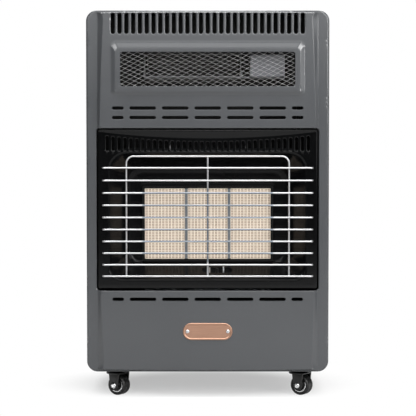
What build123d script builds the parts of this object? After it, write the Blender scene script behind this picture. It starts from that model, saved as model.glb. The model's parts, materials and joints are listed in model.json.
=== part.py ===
from build123d import *
import os
from math import cos, radians, sin

# A portable gas cabinet heater on four swivel casters.
# Millimetres; +X is to the right seen from the front, +Y goes to the rear, +Z up, floor at z = 0.
# The origin is on the floor, under the middle of the whole object.

# ---- cabinet ----
cabinet_width = 450.0
cabinet_height = 670.0
overall_depth = 410.0
corner_radius = 19.0
sheet = 1.2
lap_gap = 0.2  # between two sheets that lie one inside the other
seam_gap = 0.3  # between two sheets that meet edge to edge
rim_depth = 12.0  # the pressed front panel wraps back this far
rim_rounding = 3.4
top_skirt = 30.0  # the top panel wraps down this far
bottom_return = 29.0  # each side panel turns in this far under the cabinet
rear_flange = 16.0
tongue_reach = 8.0
tongue_root = 6.0
running_clearance = 0.05

# ---- pressed front panel ----
surround_height = 4.0  # raised frame round the mesh, above the centre panel
panel_height = 8.0  # centre panel, above the side pillars
pillar_width = 20.0
panel_end_slope = 13.0  # width of the centre panel's sloping side at the top and the bottom
panel_middle_slope = 4.0  # and at half height
panel_top_margin = 3.0
vent_slot_count = 29
vent_slot_pitch = 12.5
vent_slot_width = 7.0
vent_slot_length = 39.0
surround_width = 362.0
surround_tall = 103.0
surround_drop = 54.0  # below the top of the cabinet
surround_side_slope = 10.0
surround_top_slope = 15.0
surround_foot_rounding = 6.0
surround_face_rounding = 3.0
mesh_window_width = 322.0
mesh_window_height = 63.0
mesh_window_rise = 17.0  # above the lower edge of the surround
mesh_window_rounding = 4.6
row_slot_length = 48.5
row_slot_height = 5.6
row_slot_pitch = 60.0
row_slot_count = 5
end_slot_length = 21.0
end_slot_offset = 166.0
upper_row_drop = 23.0  # first level row below the surround
upper_row_spacing = 17.5
lower_row_drop = 16.5  # level row below the burner surround

# ---- expanded mesh behind the window ----
mesh_columns = 20
mesh_rows = 15
mesh_pitch_x = 16.0
mesh_pitch_z = 4.15
mesh_strand = 2.1
mesh_sheet = 1.5
mesh_border = 5.0

# ---- burner surround ----
bezel_tall = 300.0
bezel_rise = 152.5  # above the underside of the cabinet
bezel_side_lap = 0.5  # covers the foot of the centre panel's slope
bezel_rounding = 5.0
bezel_setback = 5.0  # its flat face lies this far behind the centre panel
bezel_return = 14.0
bezel_gap = 0.5
visor_height = 4.0
visor_lip = 3.0
visor_end_drop = 5.5
visor_middle_drop = 17.0
bezel_slot_count = 35
bezel_slot_pitch = 10.95
bezel_slot_width = 4.1
bezel_slot_rise = 4.5  # above the mouth of the recess
bezel_slot_end_drop = 14.5  # below the top of the surround
bezel_slot_middle_drop = 25.0
recess_width = 366.0
recess_tall = 235.0
recess_rise = 19.5  # above the lower edge of the surround
recess_top_rounding = 32.0
recess_bottom_rounding = 22.0
recess_depth = 55.0
recess_floor_rise = 29.0
recess_floor_rounding = 12.0
pan_sheet = 1.0
pan_flange = 10.0
pan_opening_rounding = 2.0
pilot_window_width = 56.0
pilot_window_height = 16.0
pilot_x = 17.5

# ---- burner ----
plaque_count = 3
plaque_window_width = 75.5
plaque_window_height = 133.0
plaque_window_rounding = 1.5
plaque_divider = 5.2
plaque_lap = 2.0  # hidden edge of each plaque behind the frame
plaque_thickness = 12.0
plaque_groove_pitch = 6.0
plaque_groove_width = 1.6
plaque_groove_depth = 0.8
burner_rise = 1.3  # frame above the lower edge of the recess's floor
burner_top_margin = 32.7  # recess's floor above the frame
burner_side_margin = 24.55  # and on each side of it
burner_frame_border = 5.0
burner_frame_depth = 6.0
burner_frame_rounding = 4.0
plenum_depth = 21.0
plenum_wall = 1.0
plenum_flange = 8.0
mixing_tube_radius = 9.0
mixing_tube_drop = 38.0
mixing_tube_flare = 3.0
mixing_tube_mouth = 8.0  # height of the flare
manifold_radius = 5.0
manifold_drop = 14.0  # manifold axis below the mouths of the mixing tubes
manifold_reach = 40.0  # beyond the outer mixing tubes
injector_radius = 3.0
injector_boss = 2.0  # its foot is this much wider
injector_boss_height = 3.0
injector_gap = 2.0
bracket_width = 12.0
bracket_inset = 12.0  # bracket's middle inside the end of what it carries
bracket_tab = 12.0

# ---- wire guard ----
wire_radius = 1.6
wire_sides = 10  # the bars are drawn ten-sided
weld_gap = 0.1
guard_bar_count = 10
guard_bar_reach = 11.0  # beyond each side of the recess's mouth
guard_bar_drop = 27.4  # top bar below the top of the recess
guard_pitch_top = 23.3
guard_pitch_step = 0.25  # each gap is this much smaller than the one above it
guard_bend_radius = 4.0
hoop_half_width = 150.5
hoop_drop = 6.0
hoop_bend_radius = 13.0
hoop_tail = 5.0

# ---- pilot ----
pilot_seat_drop = 16.0  # its shelf below the pilot's window
pilot_shelf_front = 9.0
pilot_shelf_back = 12.0
pilot_shelf_margin = 6.0
pilot_hole_radius = 3.7
pilot_collar_radius = 5.0
pilot_tube_radius = 3.0
pilot_tube_rise = 20.0
pilot_tube_tail = 14.0
electrode_offset = -14.0
electrode_radius = 1.3
electrode_rise = 22.0
ceramic_radius = 3.2
ceramic_half_length = 12.0
probe_offset = 12.0
probe_radius = 1.6
probe_rise = 24.0
probe_sleeve_high = 6.0
probe_sleeve_low = 10.0
probe_collar_radius = 4.6

# ---- blower ----
blower_length = 182.0
blower_left = -119.0
impeller_radius = 25.0
impeller_hub_thickness = 2.0
impeller_blade_count = 24
impeller_blade_chord = 8.0
impeller_blade_thickness = 1.0
impeller_blade_inset = 0.8
impeller_blade_turn = 24.0
impeller_running_gap = 3.0
blower_rise = 7.5  # axis above the middle of the mesh window
blower_setback = 52.0  # axis behind the inner face of the front panel
blower_mouth = 10.0  # outlet behind the inner face of the front panel
blower_wall = 1.2
blower_foot_width = 16.0
blower_foot_inset = 20.0
blower_foot_tab = 14.0
blower_foot_thickness = 2.0
inlet_margin = 8.0
inlet_setback = 4.0
inlet_rise = 6.0
outlet_below = 21.0  # lower edge of the outlet below the axis
outlet_above = 22.0
shaft_radius = 3.0
bearing_radius = 9.0
bearing_length = 9.0
bearing_face = 1.0
shaft_end_gap = 2.0  # the shaft stops this far inside the bearing's face
motor_width = 64.0
motor_height = 43.0
motor_depth = 46.0
motor_rounding = 4.0
motor_gap = 17.0
motor_arm_width = 28.0
motor_shaft_depth = 8.0
motor_bore_depth = 12.0

# ---- inner panels ----
divider_setback = 100.5  # heat shield behind the raised centre panel
divider_flange = 12.0
tray_sheet = 1.5
tray_rise = 25.0

# ---- controls in the top ----
well_side = 103.0  # middle of the well inside the cabinet's right side
well_y = 105.0
well_width = 150.0
well_length = 92.0
well_depth = 23.0
well_wall = 1.5
well_flange = 7.0
well_rounding = 9.0
knob_offset = 33.0  # right of the well's middle
knob_radius = 22.0
knob_height = 18.0
knob_travel = 4.0
knob_skirt = 4.0
knob_grip_inset = 3.0
knob_grips = 10
knob_flute_radius = 2.5
knob_flute_place = 1.5  # flute axes inside the skirt's edge
knob_top_chamfer = 1.2
knob_crown = 4.0  # solid part over the stem's socket
spindle_radius = 4.0
spindle_bore_depth = 12.0
spindle_hole_gap = 0.5
spindle_end_gap = 1.0
valve_width = 44.0
valve_height = 40.0
valve_rounding = 5.0
valve_neck_radius = 9.0
valve_neck_height = 9.0
switch_offset = 32.0  # igniter and rocker left of the well's middle
igniter_back = 20.0
igniter_radius = 8.0
igniter_collar_radius = 12.0
igniter_collar_height = 3.0
igniter_button_height = 12.0
igniter_depth = 34.0
igniter_travel = 5.0
igniter_proud = 1.5  # the pressed button still stands above its collar
button_gap = 0.3
button_chamfer = 1.0
rocker_front = 21.0
rocker_width = 12.0
rocker_length = 19.0
rocker_end_gap = 0.6
rocker_frame = 2.0
rocker_frame_height = 2.0
rocker_well = 12.0
rocker_depth = 20.0
rocker_end_height = 4.2
rocker_middle_height = 2.6
rocker_root = 5.0
supply_tube_radius = 4.0
supply_tube_bend = 16.0
supply_offset = 17.0  # right of the knob's axis
hose_tail_radius = 4.5
hose_tail_length = 26.0
hose_nut_radius = 8.5
hose_nut_length = 9.0

# ---- badge ----
badge_width = 92.0
badge_height = 31.5
badge_thickness = 1.6
badge_rim = 2.5
badge_sink = 0.5  # its face lies this deep inside the rim
badge_rise = 76.0  # above the underside of the cabinet
badge_rivet_offset = 37.5
badge_rivet_radius = 3.7
badge_rivet_height = 1.6

# ---- rear cover ----
cover_bulge = 15.0
cover_sheet = 1.2
cover_edge = 8.0  # the cover stops this far inside the cabinet's sides
cover_rise = 22.0  # above the underside of the cabinet
cover_top_margin = 8.0
cover_rounding = 8.0
cover_shoulder = 27.0  # flat border round the raised part
cover_slope = 14.0
cover_foot_rounding = 14.0
cover_face_rounding = 10.0
cover_vent_rows = 5
cover_vent_pitch = 14.0
cover_vent_margin = 20.0
cover_vent_offset = 54.0
cover_vent_length = 90.0
cover_vent_height = 5.0
cover_screw_radius = 7.0
cover_screw_height = 7.0
cover_screw_chamfer = 1.0
cover_shank_radius = 2.5
cover_shank_gap = 0.3
cover_screw_spread = 420.0

# ---- side handles and cable gland ----
handle_y = 20.0
handle_drop = 120.0  # below the top of the cabinet
handle_length = 112.0
handle_height = 38.0
handle_depth = 24.0
handle_wall = 1.5
handle_flange = 6.0
gland_x = -150.0
gland_rise = 10.6  # above the tray's floor
gland_bore = 3.6
gland_radius = 6.5
gland_head_radius = 8.0
gland_head = 4.0
gland_chamfer = 1.0
gland_length = 16.0

# ---- casters ----
caster_side = 53.0  # swivel axis inside the cabinet's side
caster_front = 48.0  # swivel axis behind the foremost surface
caster_rear = 60.0
caster_turn = 239.0  # where the wheels happen to stand
caster_trail = 6.0
wheel_radius = 19.0
wheel_width = 22.0
wheel_shoulder = 2.5
wheel_tread_edge = 3.0
wheel_ring_outer = 13.6
wheel_ring_inner = 10.2
wheel_ring_thickness = 1.5
wheel_ring_edge = 0.4
wheel_dish = 3.0
hub_radius = 5.5
axle_radius = 3.0
axle_head_radius = 5.2
axle_head_height = 3.0
axle_head_chamfer = 1.2
leg_gap = 5.0
leg_thickness = 2.0
leg_foot_radius = 9.0
leg_top_width = 23.0
leg_side_clearance = 0.3
crown_radius = 19.0
crown_thickness = 3.0
crown_clearance = 1.8
race_radius = 16.0
race_gap = 0.3
race_height = 4.3
king_pin_radius = 4.0
caster_plate_size = 42.0
caster_plate_rounding = 6.0
caster_plate_thickness = 2.0

# ---- heights worked out from the casters up ----
crown_low = 2 * wheel_radius + crown_clearance
crown_high = crown_low + crown_thickness
caster_plate_low = crown_high + race_gap + race_height
tray_inset = sheet + lap_gap
floor_gap = caster_plate_low + caster_plate_thickness - tray_inset  # underside of the cabinet
tray_floor = floor_gap + tray_inset + tray_sheet
tray_top = floor_gap + tray_inset + tray_rise
cabinet_top = floor_gap + cabinet_height
top_seam = cabinet_top - top_skirt
bezel_low = floor_gap + bezel_rise
bezel_high = bezel_low + bezel_tall
recess_low = bezel_low + recess_rise
recess_high = recess_low + recess_tall
recess_floor_low = recess_low + recess_floor_rise
burner_height = plaque_window_height + 2 * burner_frame_border
recess_floor_high = recess_floor_low + burner_rise + burner_height + burner_top_margin
plaque_z = recess_floor_low + burner_rise + burner_height / 2
plenum_half_height = plaque_window_height / 2 + plaque_lap + plenum_wall
mixing_mouth = plaque_z - burner_height / 2 - mixing_tube_drop
manifold_z = mixing_mouth - manifold_drop
guard_bar_top = recess_high - guard_bar_drop
hoop_top = recess_high - hoop_drop
surround_high = cabinet_top - surround_drop
surround_low = surround_high - surround_tall
mesh_window_low = surround_low + mesh_window_rise
mesh_window_high = mesh_window_low + mesh_window_height
upper_row_z = surround_low - upper_row_drop
lower_row_z = bezel_low - lower_row_drop
blower_z = (mesh_window_low + mesh_window_high) / 2 + blower_rise
outlet_low = blower_z - outlet_below
outlet_high = blower_z + outlet_above
motor_low = blower_z - motor_height / 2
badge_z = floor_gap + badge_rise
well_floor = cabinet_top - sheet - lap_gap - well_depth
valve_seat = well_floor - well_wall
valve_top = valve_seat - valve_neck_height
valve_port_z = valve_top - valve_height / 2
knob_bottom = cabinet_top - knob_height
cover_low = floor_gap + cover_rise
cover_height = cabinet_top - cover_top_margin - cover_low
cover_z = cover_low + cover_height / 2
handle_z = cabinet_top - handle_drop
gland_z = tray_floor + gland_rise

# ---- widths worked out from the cabinet's sides inward ----
half_width = cabinet_width / 2
panel_foot_width = cabinet_width - 2 * pillar_width
panel_end_width = panel_foot_width - 2 * panel_end_slope
panel_middle_width = panel_foot_width - 2 * panel_middle_slope
bezel_width = panel_foot_width + 2 * bezel_side_lap
guard_bar_half = recess_width / 2 + guard_bar_reach
plaque_pitch = plaque_window_width + plaque_divider
burner_width = plaque_count * plaque_pitch - plaque_divider + 2 * burner_frame_border
recess_floor_width = burner_width + 2 * burner_side_margin
plenum_width = burner_width - 2 * burner_frame_border + 2 * plaque_lap + 2 * plenum_wall
manifold_end = plaque_pitch + manifold_reach
blower_right = blower_left + blower_length
motor_left = blower_right + motor_gap
well_x = half_width - well_side
knob_x = well_x + knob_offset
igniter_x = well_x - switch_offset
igniter_y = well_y + igniter_back
rocker_x = well_x - switch_offset
rocker_y = well_y - rocker_front
supply_x = knob_x + supply_offset
hose_face = knob_x - valve_width / 2
cover_width = cabinet_width - 2 * cover_edge
caster_x = half_width - caster_side
leg_inner = wheel_width / 2 + leg_gap
leg_outer = leg_inner + leg_thickness

# ---- depths worked out from the front to the rear ----
front_y = -overall_depth / 2
rear_y = overall_depth / 2
panel_y = front_y + surround_height
pillar_y = panel_y + panel_height
casing_front = pillar_y + rim_depth + seam_gap
cover_y = rear_y - cover_bulge
casing_rear = cover_y - cover_sheet - seam_gap
mesh_y = front_y + sheet
bezel_y = panel_y + bezel_setback
pan_back = bezel_y + recess_depth
burner_front = pan_back - burner_frame_depth
plaque_front = burner_front + sheet
plenum_front = plaque_front + plaque_thickness
plenum_back = plenum_front + plenum_depth
mixing_y = (plenum_front + plenum_back) / 2
divider_y = panel_y + divider_setback
divider_back = divider_y + sheet
guard_y = front_y + wire_radius
hoop_y = guard_y + 2 * wire_radius + weld_gap
blower_front = pillar_y + sheet + blower_mouth
blower_y = pillar_y + sheet + blower_setback
housing_radius = impeller_radius + impeller_running_gap + blower_wall


def front_plane(y):
    """A drawing plane that faces the front: sketch x is X and sketch y is Z."""
    return Plane(origin=(0, y, 0), x_dir=(1, 0, 0), z_dir=(0, -1, 0))


def slab(sketch, y_front, y_back):
    """A front-view sketch given thickness from y_front back to y_back."""
    return extrude(front_plane(y_back) * sketch, amount=y_back - y_front)


def side_slab(sketch, x_low, x_high):
    """A sketch of Y and Z given thickness from x_low to x_high."""
    plane = Plane(origin=(x_low, 0, 0), x_dir=(0, 1, 0), z_dir=(1, 0, 0))
    return extrude(plane * sketch, amount=x_high - x_low)


def level_slab(sketch, z_low, z_high):
    """A plan-view sketch given thickness from z_low to z_high."""
    return extrude(Plane.XY.offset(z_low) * sketch, amount=z_high - z_low)


def block(x_low, x_high, y_low, y_high, z_low, z_high):
    middle = ((x_low + x_high) / 2, (y_low + y_high) / 2, (z_low + z_high) / 2)
    return Pos(*middle) * Box(x_high - x_low, y_high - y_low, z_high - z_low)


def rod_x(x_low, x_high, y, z, radius):
    middle = Pos((x_low + x_high) / 2, y, z)
    return middle * Rot(0, 90, 0) * Cylinder(radius, x_high - x_low)


def rod_y(x, y_low, y_high, z, radius):
    middle = Pos(x, (y_low + y_high) / 2, z)
    return middle * Rot(90, 0, 0) * Cylinder(radius, y_high - y_low)


def rod_z(x, y, z_low, z_high, radius):
    return Pos(x, y, (z_low + z_high) / 2) * Cylinder(radius, z_high - z_low)


def frame_rectangle(width, low, high, rounding):
    """A rounded rectangle centred on X = 0 from height low to height high."""
    return Pos(0, (low + high) / 2) * RectangleRounded(width, high - low, rounding)


def plain_rectangle(width, low, high):
    return Pos(0, (low + high) / 2) * Rectangle(width, high - low)


def outline(inset=0.0):
    """The cabinet seen from the front, shrunk by inset on every side."""
    width = cabinet_width - 2 * inset
    height = cabinet_height - 2 * inset
    middle = Pos(0, floor_gap + cabinet_height / 2)
    return middle * RectangleRounded(width, height, corner_radius - inset)


def casing_ring(outer_inset, inner_inset, y_front, y_back):
    return slab(outline(outer_inset) - outline(inner_inset), y_front, y_back)


def casing():
    """Sides, top and bottom returns as one folded sheet, before it is parted into panels."""
    inner = tray_inset + sheet
    root_back = casing_front + tongue_root
    wall = casing_ring(0, sheet, casing_front, casing_rear)
    flange = casing_ring(sheet / 2, rear_flange, casing_rear - sheet, casing_rear)
    tongue = casing_ring(tray_inset, inner, casing_front - tongue_reach, root_back)
    root = casing_ring(sheet / 2, inner, casing_front, root_back)
    return wall + flange + tongue + root


def screw_places():
    """Where the rear cover's four screws stand, as (x, z)."""
    x = half_width - rear_flange / 2 - cover_edge / 2
    rise = cover_screw_spread / 2
    return [(side * x, cover_z + end * rise) for side in (-1, 1) for end in (-1, 1)]


def screw_holes(radius):
    holes = [Pos(x, z) * Circle(radius) for x, z in screw_places()]
    return slab(Sketch() + holes, casing_rear - 2 * sheet, cover_y + sheet)


def side_panel(side):
    """One side: wall, bottom return, rear flange, and the tongues behind the front and the top panel."""
    seam = top_seam - seam_gap
    reach = bottom_return - half_width
    shape = casing() & block(-half_width, reach, front_y, rear_y, floor_gap, seam)
    lap_low = top_seam - tongue_root
    lap_x = tray_inset - half_width
    lap_front = casing_front + 2 * tongue_root
    lap_rear = casing_rear - 2 * tongue_root
    shape += block(lap_x, lap_x + sheet, lap_front, lap_rear, lap_low, top_seam + tongue_reach)
    shape += block(sheet / 2 - half_width, lap_x + sheet, lap_front, lap_rear, lap_low, seam)
    if side > 0:
        shape = mirror(shape, about=Plane.YZ)
    grip = Pos(handle_y, handle_z) * SlotOverall(handle_length, handle_height)
    wall = side * half_width
    shape -= side_slab(grip, wall - 4 * sheet, wall + 4 * sheet)
    return shape - screw_holes(cover_shank_radius + cover_shank_gap)


def top_panel():
    """The top with its rounded corners, open over the control well."""
    shape = casing() & block(-half_width, half_width, front_y, rear_y, top_seam, cabinet_top)
    opening = Pos(well_x, well_y) * RectangleRounded(well_width, well_length, well_rounding)
    return shape - level_slab(opening, cabinet_top - 3 * sheet, cabinet_top + sheet)


def base_tray():
    """The floor that carries the bottle, turned up on all four sides."""
    inner = tray_inset + tray_sheet
    front = casing_front + tongue_root + lap_gap
    rear = casing_rear - sheet - lap_gap
    shape = casing_ring(tray_inset, inner, front, rear)
    shape += slab(outline(tray_inset), front, front + tray_sheet)
    shape += slab(outline(tray_inset), rear - tray_sheet, rear)
    shape &= block(-half_width, half_width, front_y, rear_y, floor_gap, tray_top)
    mouth = half_width - bottom_return - seam_gap
    lip_low = tray_floor - tray_sheet
    shape += block(-mouth, mouth, rear - tray_sheet, casing_rear, lip_low, tray_top)
    return shape - rod_y(gland_x, rear - 5 * sheet, rear_y, gland_z, gland_radius + lap_gap)


def divider_panel():
    """The heat shield between the burner and the bottle, with turned edges at both sides."""
    shape = slab(outline(tray_inset + tray_sheet + lap_gap), divider_y, divider_back)
    edge = half_width - tray_inset
    inner = edge - 2 * sheet - 2 * lap_gap
    low = tray_top + lap_gap
    high = top_seam - tongue_root - lap_gap
    rear = divider_y + divider_flange
    shape += block(inner, edge, divider_y, rear, low, high)
    shape += block(-edge, -inner, divider_y, rear, low, high)
    hole = supply_tube_radius + lap_gap
    return shape - rod_y(supply_x, divider_y - sheet, divider_back + sheet, valve_port_z, hole)


def panel_face(inset):
    """The raised face of the centre panel, barrel-sided, from the top edge to the bottom edge."""
    low = floor_gap + panel_top_margin + inset
    high = cabinet_top - panel_top_margin - inset
    end = panel_end_width / 2 - inset
    middle = panel_middle_width / 2 - inset
    half = (low + high) / 2
    right = ThreePointArc((end, low), (middle, half), (end, high))
    left = ThreePointArc((-end, high), (-middle, half), (-end, low))
    top = Line((end, high), (-end, high))
    bottom = Line((-end, low), (end, low))
    return make_face([bottom, right, top, left])


def panel_foot(inset):
    """The outline where the centre panel leaves the pillars."""
    low = floor_gap + inset
    high = cabinet_top - inset
    half = panel_foot_width / 2 - inset
    corners = [(-half, low), (half, low), (half, high), (-half, high), (-half, low)]
    return make_face(Polyline(*corners))


def surround_form(inset):
    """The raised frame round the mesh: a slab with four sloping sides."""
    width = surround_width - 2 * inset
    foot_low = surround_low + inset
    foot_high = surround_high - inset
    foot = frame_rectangle(width, foot_low, foot_high, surround_foot_rounding)
    face_width = width - 2 * surround_side_slope
    face_low = foot_low + surround_side_slope
    face_high = foot_high - surround_top_slope
    face = frame_rectangle(face_width, face_low, face_high, surround_face_rounding)
    foot_plane = front_plane(panel_y + sheet + inset)
    return loft([foot_plane * foot, front_plane(front_y + inset) * face], ruled=True)


def fascia_form(inset):
    """The whole front pressing as a filled form, shrunk by inset on every outer side."""
    tray = slab(outline(inset), pillar_y + inset, pillar_y + rim_depth)
    tray = fillet(tray.faces().sort_by(Axis.Y)[0].edges(), rim_rounding - inset)
    foot = front_plane(pillar_y + sheet + inset) * panel_foot(inset)
    face = front_plane(panel_y + inset) * panel_face(inset)
    return tray + loft([foot, face], ruled=True) + surround_form(inset)


def vent_slots():
    """The row of upright slots that starts at the top edge."""
    top = cabinet_top - panel_top_margin
    low = top - vent_slot_length
    slot = Pos(0, (top + low) / 2) * Rectangle(vent_slot_width, top - low)
    slot = fillet(slot.vertices().group_by(Axis.Y)[0], vent_slot_width / 2 - 0.01)
    first = -(vent_slot_count - 1) / 2 * vent_slot_pitch
    slots = [Pos(first + i * vent_slot_pitch, 0) * slot for i in range(vent_slot_count)]
    return slab(Sketch() + slots, front_y, pillar_y + sheet)


def slot_row(z):
    """Five long slots with a short one at each end."""
    long_slot = SlotOverall(row_slot_length, row_slot_height)
    end_slot = SlotOverall(end_slot_length, row_slot_height)
    first = -(row_slot_count - 1) / 2 * row_slot_pitch
    row = [Pos(first + i * row_slot_pitch, z) * long_slot for i in range(row_slot_count)]
    row += [Pos(side * end_slot_offset, z) * end_slot for side in (-1, 1)]
    return slab(Sketch() + row, front_y, pillar_y + rim_depth)


def front_fascia():
    """The pressed front panel with all its openings."""
    rear = pillar_y + rim_depth
    shape = fascia_form(0) - fascia_form(sheet)
    window = (mesh_window_width, mesh_window_low, mesh_window_high, mesh_window_rounding)
    shape -= slab(frame_rectangle(*window), front_y - sheet, pillar_y)
    width = bezel_width + 2 * bezel_gap
    low = bezel_low - bezel_gap
    high = bezel_high + bezel_gap
    shape -= slab(frame_rectangle(width, low, high, bezel_rounding), front_y, rear)
    shape -= vent_slots()
    for z in (upper_row_z, upper_row_z - upper_row_spacing, lower_row_z):
        shape -= slot_row(z)
    return shape


def mesh_panel():
    """Slit and stretched sheet: staggered diamond openings in one flat panel."""
    width = mesh_window_width + 2 * mesh_border
    low = mesh_window_low - mesh_border
    high = mesh_window_high + mesh_border
    sheet_face = frame_rectangle(width, low, high, mesh_border)
    half_x = mesh_pitch_x / 2 - mesh_strand
    half_z = mesh_pitch_z - mesh_strand / 2
    corners = [(-half_x, 0), (0, -half_z), (half_x, 0), (0, half_z), (-half_x, 0)]
    diamond = make_face(Polyline(*corners))
    middle = (low + high) / 2
    holes = []
    for row in range(mesh_rows):
        shift = row % 2
        z = middle + (row - (mesh_rows - 1) / 2) * mesh_pitch_z
        first = -(mesh_columns - 1 - shift) / 2 * mesh_pitch_x
        holes += [Pos(first + i * mesh_pitch_x, z) * diamond for i in range(mesh_columns - shift)]
    wires = [hole.face().outer_wire() for hole in holes]
    holed = Face(sheet_face.face().outer_wire(), wires)
    return slab(Sketch() + holed, mesh_y, mesh_y + mesh_sheet)


def recess_outline(grow):
    """The mouth of the burner recess: wide curves above, tighter ones below."""
    shape = plain_rectangle(recess_width + 2 * grow, recess_low - grow, recess_high + grow)
    shape = fillet(shape.vertices().group_by(Axis.Y)[-1], recess_top_rounding + grow)
    return fillet(shape.vertices().group_by(Axis.Y)[0], recess_bottom_rounding + grow)


def recess_floor_outline(grow):
    low = recess_floor_low - grow
    high = recess_floor_high + grow
    shape = plain_rectangle(recess_floor_width + 2 * grow, low, high)
    shape = fillet(shape.vertices().group_by(Axis.Y)[-1], recess_floor_rounding + grow)
    return fillet(shape.vertices().group_by(Axis.Y)[0], recess_floor_rounding + grow)


def lens(half, low, top, lower_edge):
    """A band from lower_edge up to a straight top edge."""
    right = Line((half, low), (half, top))
    upper = Line((half, top), (-half, top))
    left = Line((-half, top), (-half, low))
    return make_face([lower_edge, right, upper, left])


def visor():
    """The sloping lens-shaped band along the top of the burner surround."""
    half = bezel_width / 2 - bezel_rounding
    end = bezel_high - visor_end_drop
    curve = ThreePointArc((-half, end), (0, bezel_high - visor_middle_drop), (half, end))
    lip = bezel_high - visor_lip
    foot = lens(half, end, bezel_high, curve)
    edge = lens(half, lip, bezel_high, Line((-half, lip), (half, lip)))
    return loft([front_plane(bezel_y) * foot, front_plane(bezel_y - visor_height) * edge], ruled=True)


def bezel_slots():
    """Upright slots whose tops follow the curve of the visor."""
    low = recess_high + bezel_slot_rise
    middle_top = bezel_high - bezel_slot_middle_drop
    top_rise = bezel_slot_middle_drop - bezel_slot_end_drop
    slots = []
    for i in range(bezel_slot_count):
        place = i - (bezel_slot_count - 1) / 2
        share = 2 * place / (bezel_slot_count - 1)
        height = middle_top + top_rise * share**2 - low
        slot = Rectangle(bezel_slot_width, height)
        slots.append(Pos(place * bezel_slot_pitch, low + height / 2) * slot)
    return slab(Sketch() + slots, bezel_y - sheet, bezel_y + bezel_return)


def burner_bezel():
    """Enamelled surround that fills the width between the pillars."""
    rear = bezel_y + bezel_return
    outer = frame_rectangle(bezel_width, bezel_low, bezel_high, bezel_rounding)
    inner_width = bezel_width - 2 * sheet
    inner_rounding = bezel_rounding - sheet
    inner = frame_rectangle(inner_width, bezel_low + sheet, bezel_high - sheet, inner_rounding)
    shape = slab(outer, bezel_y, rear) - slab(inner, bezel_y + sheet, rear)
    shape += visor()
    shape -= slab(recess_outline(0), bezel_y - 2 * sheet, bezel_y + 2 * sheet)
    return shape - bezel_slots()


def pan_form(grow):
    mouth = front_plane(bezel_y + sheet) * recess_outline(grow)
    floor = front_plane(pan_back + grow) * recess_floor_outline(grow)
    return loft([mouth, floor], ruled=True)


def pan_wall_rise():
    """How much the recess's lower wall rises for each millimetre towards the rear."""
    return (recess_floor_low - recess_low) / (pan_back - bezel_y - sheet)


def pan_wall_middle():
    """The middle of the recess's lower wall as (y, z)."""
    return (bezel_y + sheet + pan_back) / 2, (recess_low + recess_floor_low) / 2


def reflector_pan():
    """The deep-drawn recess round the burner, with the pilot's window in its lower wall."""
    flange_y = bezel_y + sheet
    shape = pan_form(pan_sheet) - pan_form(0)
    flange = recess_outline(pan_flange) - recess_outline(0)
    shape += slab(flange, flange_y, flange_y + pan_sheet)
    reach = plenum_half_height + lap_gap
    width = plenum_width + 2 * lap_gap
    opening = frame_rectangle(width, plaque_z - reach, plaque_z + reach, pan_opening_rounding)
    shape -= slab(opening, pan_back - sheet, pan_back + 2 * sheet)
    window = Pos(pilot_x, pan_wall_middle()[0]) * SlotOverall(pilot_window_width, pilot_window_height)
    return shape - level_slab(window, recess_low - pan_sheet * 5, recess_floor_low)


def plaque_frame():
    """The frame that holds the three plaques, standing forward from the floor of the recess."""
    low = plaque_z - burner_height / 2
    high = plaque_z + burner_height / 2
    outer = frame_rectangle(burner_width, low, high, burner_frame_rounding)
    hollow_width = burner_width - 2 * sheet
    hollow_rounding = burner_frame_rounding - sheet
    hollow = frame_rectangle(hollow_width, low + sheet, high - sheet, hollow_rounding)
    shape = slab(outer, burner_front, pan_back) - slab(hollow, plaque_front, pan_back)
    window = RectangleRounded(plaque_window_width, plaque_window_height, plaque_window_rounding)
    windows = [Pos(i * plaque_pitch, plaque_z) * window for i in (-1, 0, 1)]
    return shape - slab(Sketch() + windows, burner_front - sheet, plaque_front + sheet)


def ceramic_plaque(x):
    """One radiant plaque, with the upright grooves of its face."""
    width = plaque_window_width + 2 * plaque_lap
    height = plaque_window_height + 2 * plaque_lap
    shape = slab(Pos(x, plaque_z) * Rectangle(width, height), plaque_front, plenum_front)
    count = int(plaque_window_width / plaque_groove_pitch)
    groove = Rectangle(plaque_groove_width, plaque_window_height - plaque_groove_pitch)
    first = x - (count - 1) / 2 * plaque_groove_pitch
    grooves = [Pos(first + i * plaque_groove_pitch, plaque_z) * groove for i in range(count)]
    foot = plaque_front + plaque_groove_depth
    return shape - slab(Sketch() + grooves, plaque_front - plaque_groove_depth, foot)


def burner_plenum():
    """The gas chamber behind the plaques, with one flared mixing tube for each of them."""
    low = plaque_z - plenum_half_height
    high = plaque_z + plenum_half_height
    outer = frame_rectangle(plenum_width, low, high, pan_opening_rounding)
    inner_width = plenum_width - 2 * plenum_wall
    hollow = plain_rectangle(inner_width, low + plenum_wall, high - plenum_wall)
    shape = slab(outer, plenum_front, plenum_back)
    shape -= slab(hollow, plenum_front, plenum_back - plenum_wall)
    rim_low = low - plenum_flange
    rim_high = high + plenum_flange
    rim = frame_rectangle(plenum_width + 2 * plenum_flange, rim_low, rim_high, burner_frame_rounding)
    shape += slab(rim - outer, pan_back + pan_sheet, pan_back + 2 * pan_sheet)
    shape += slab(outer - hollow, pan_back, plenum_front)
    flare_radius = mixing_tube_radius + mixing_tube_flare
    bore = mixing_tube_radius - plenum_wall
    flare = Cone(flare_radius, mixing_tube_radius, mixing_tube_mouth)
    for x in (-plaque_pitch, 0, plaque_pitch):
        shape += rod_z(x, mixing_y, mixing_mouth, low + plenum_wall / 2, mixing_tube_radius)
        shape += Pos(x, mixing_y, mixing_mouth + mixing_tube_mouth / 2) * flare
    for x in (-plaque_pitch, 0, plaque_pitch):
        shape -= rod_z(x, mixing_y, mixing_mouth - plenum_wall, low + 2 * plenum_wall, bore)
    return shape


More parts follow.
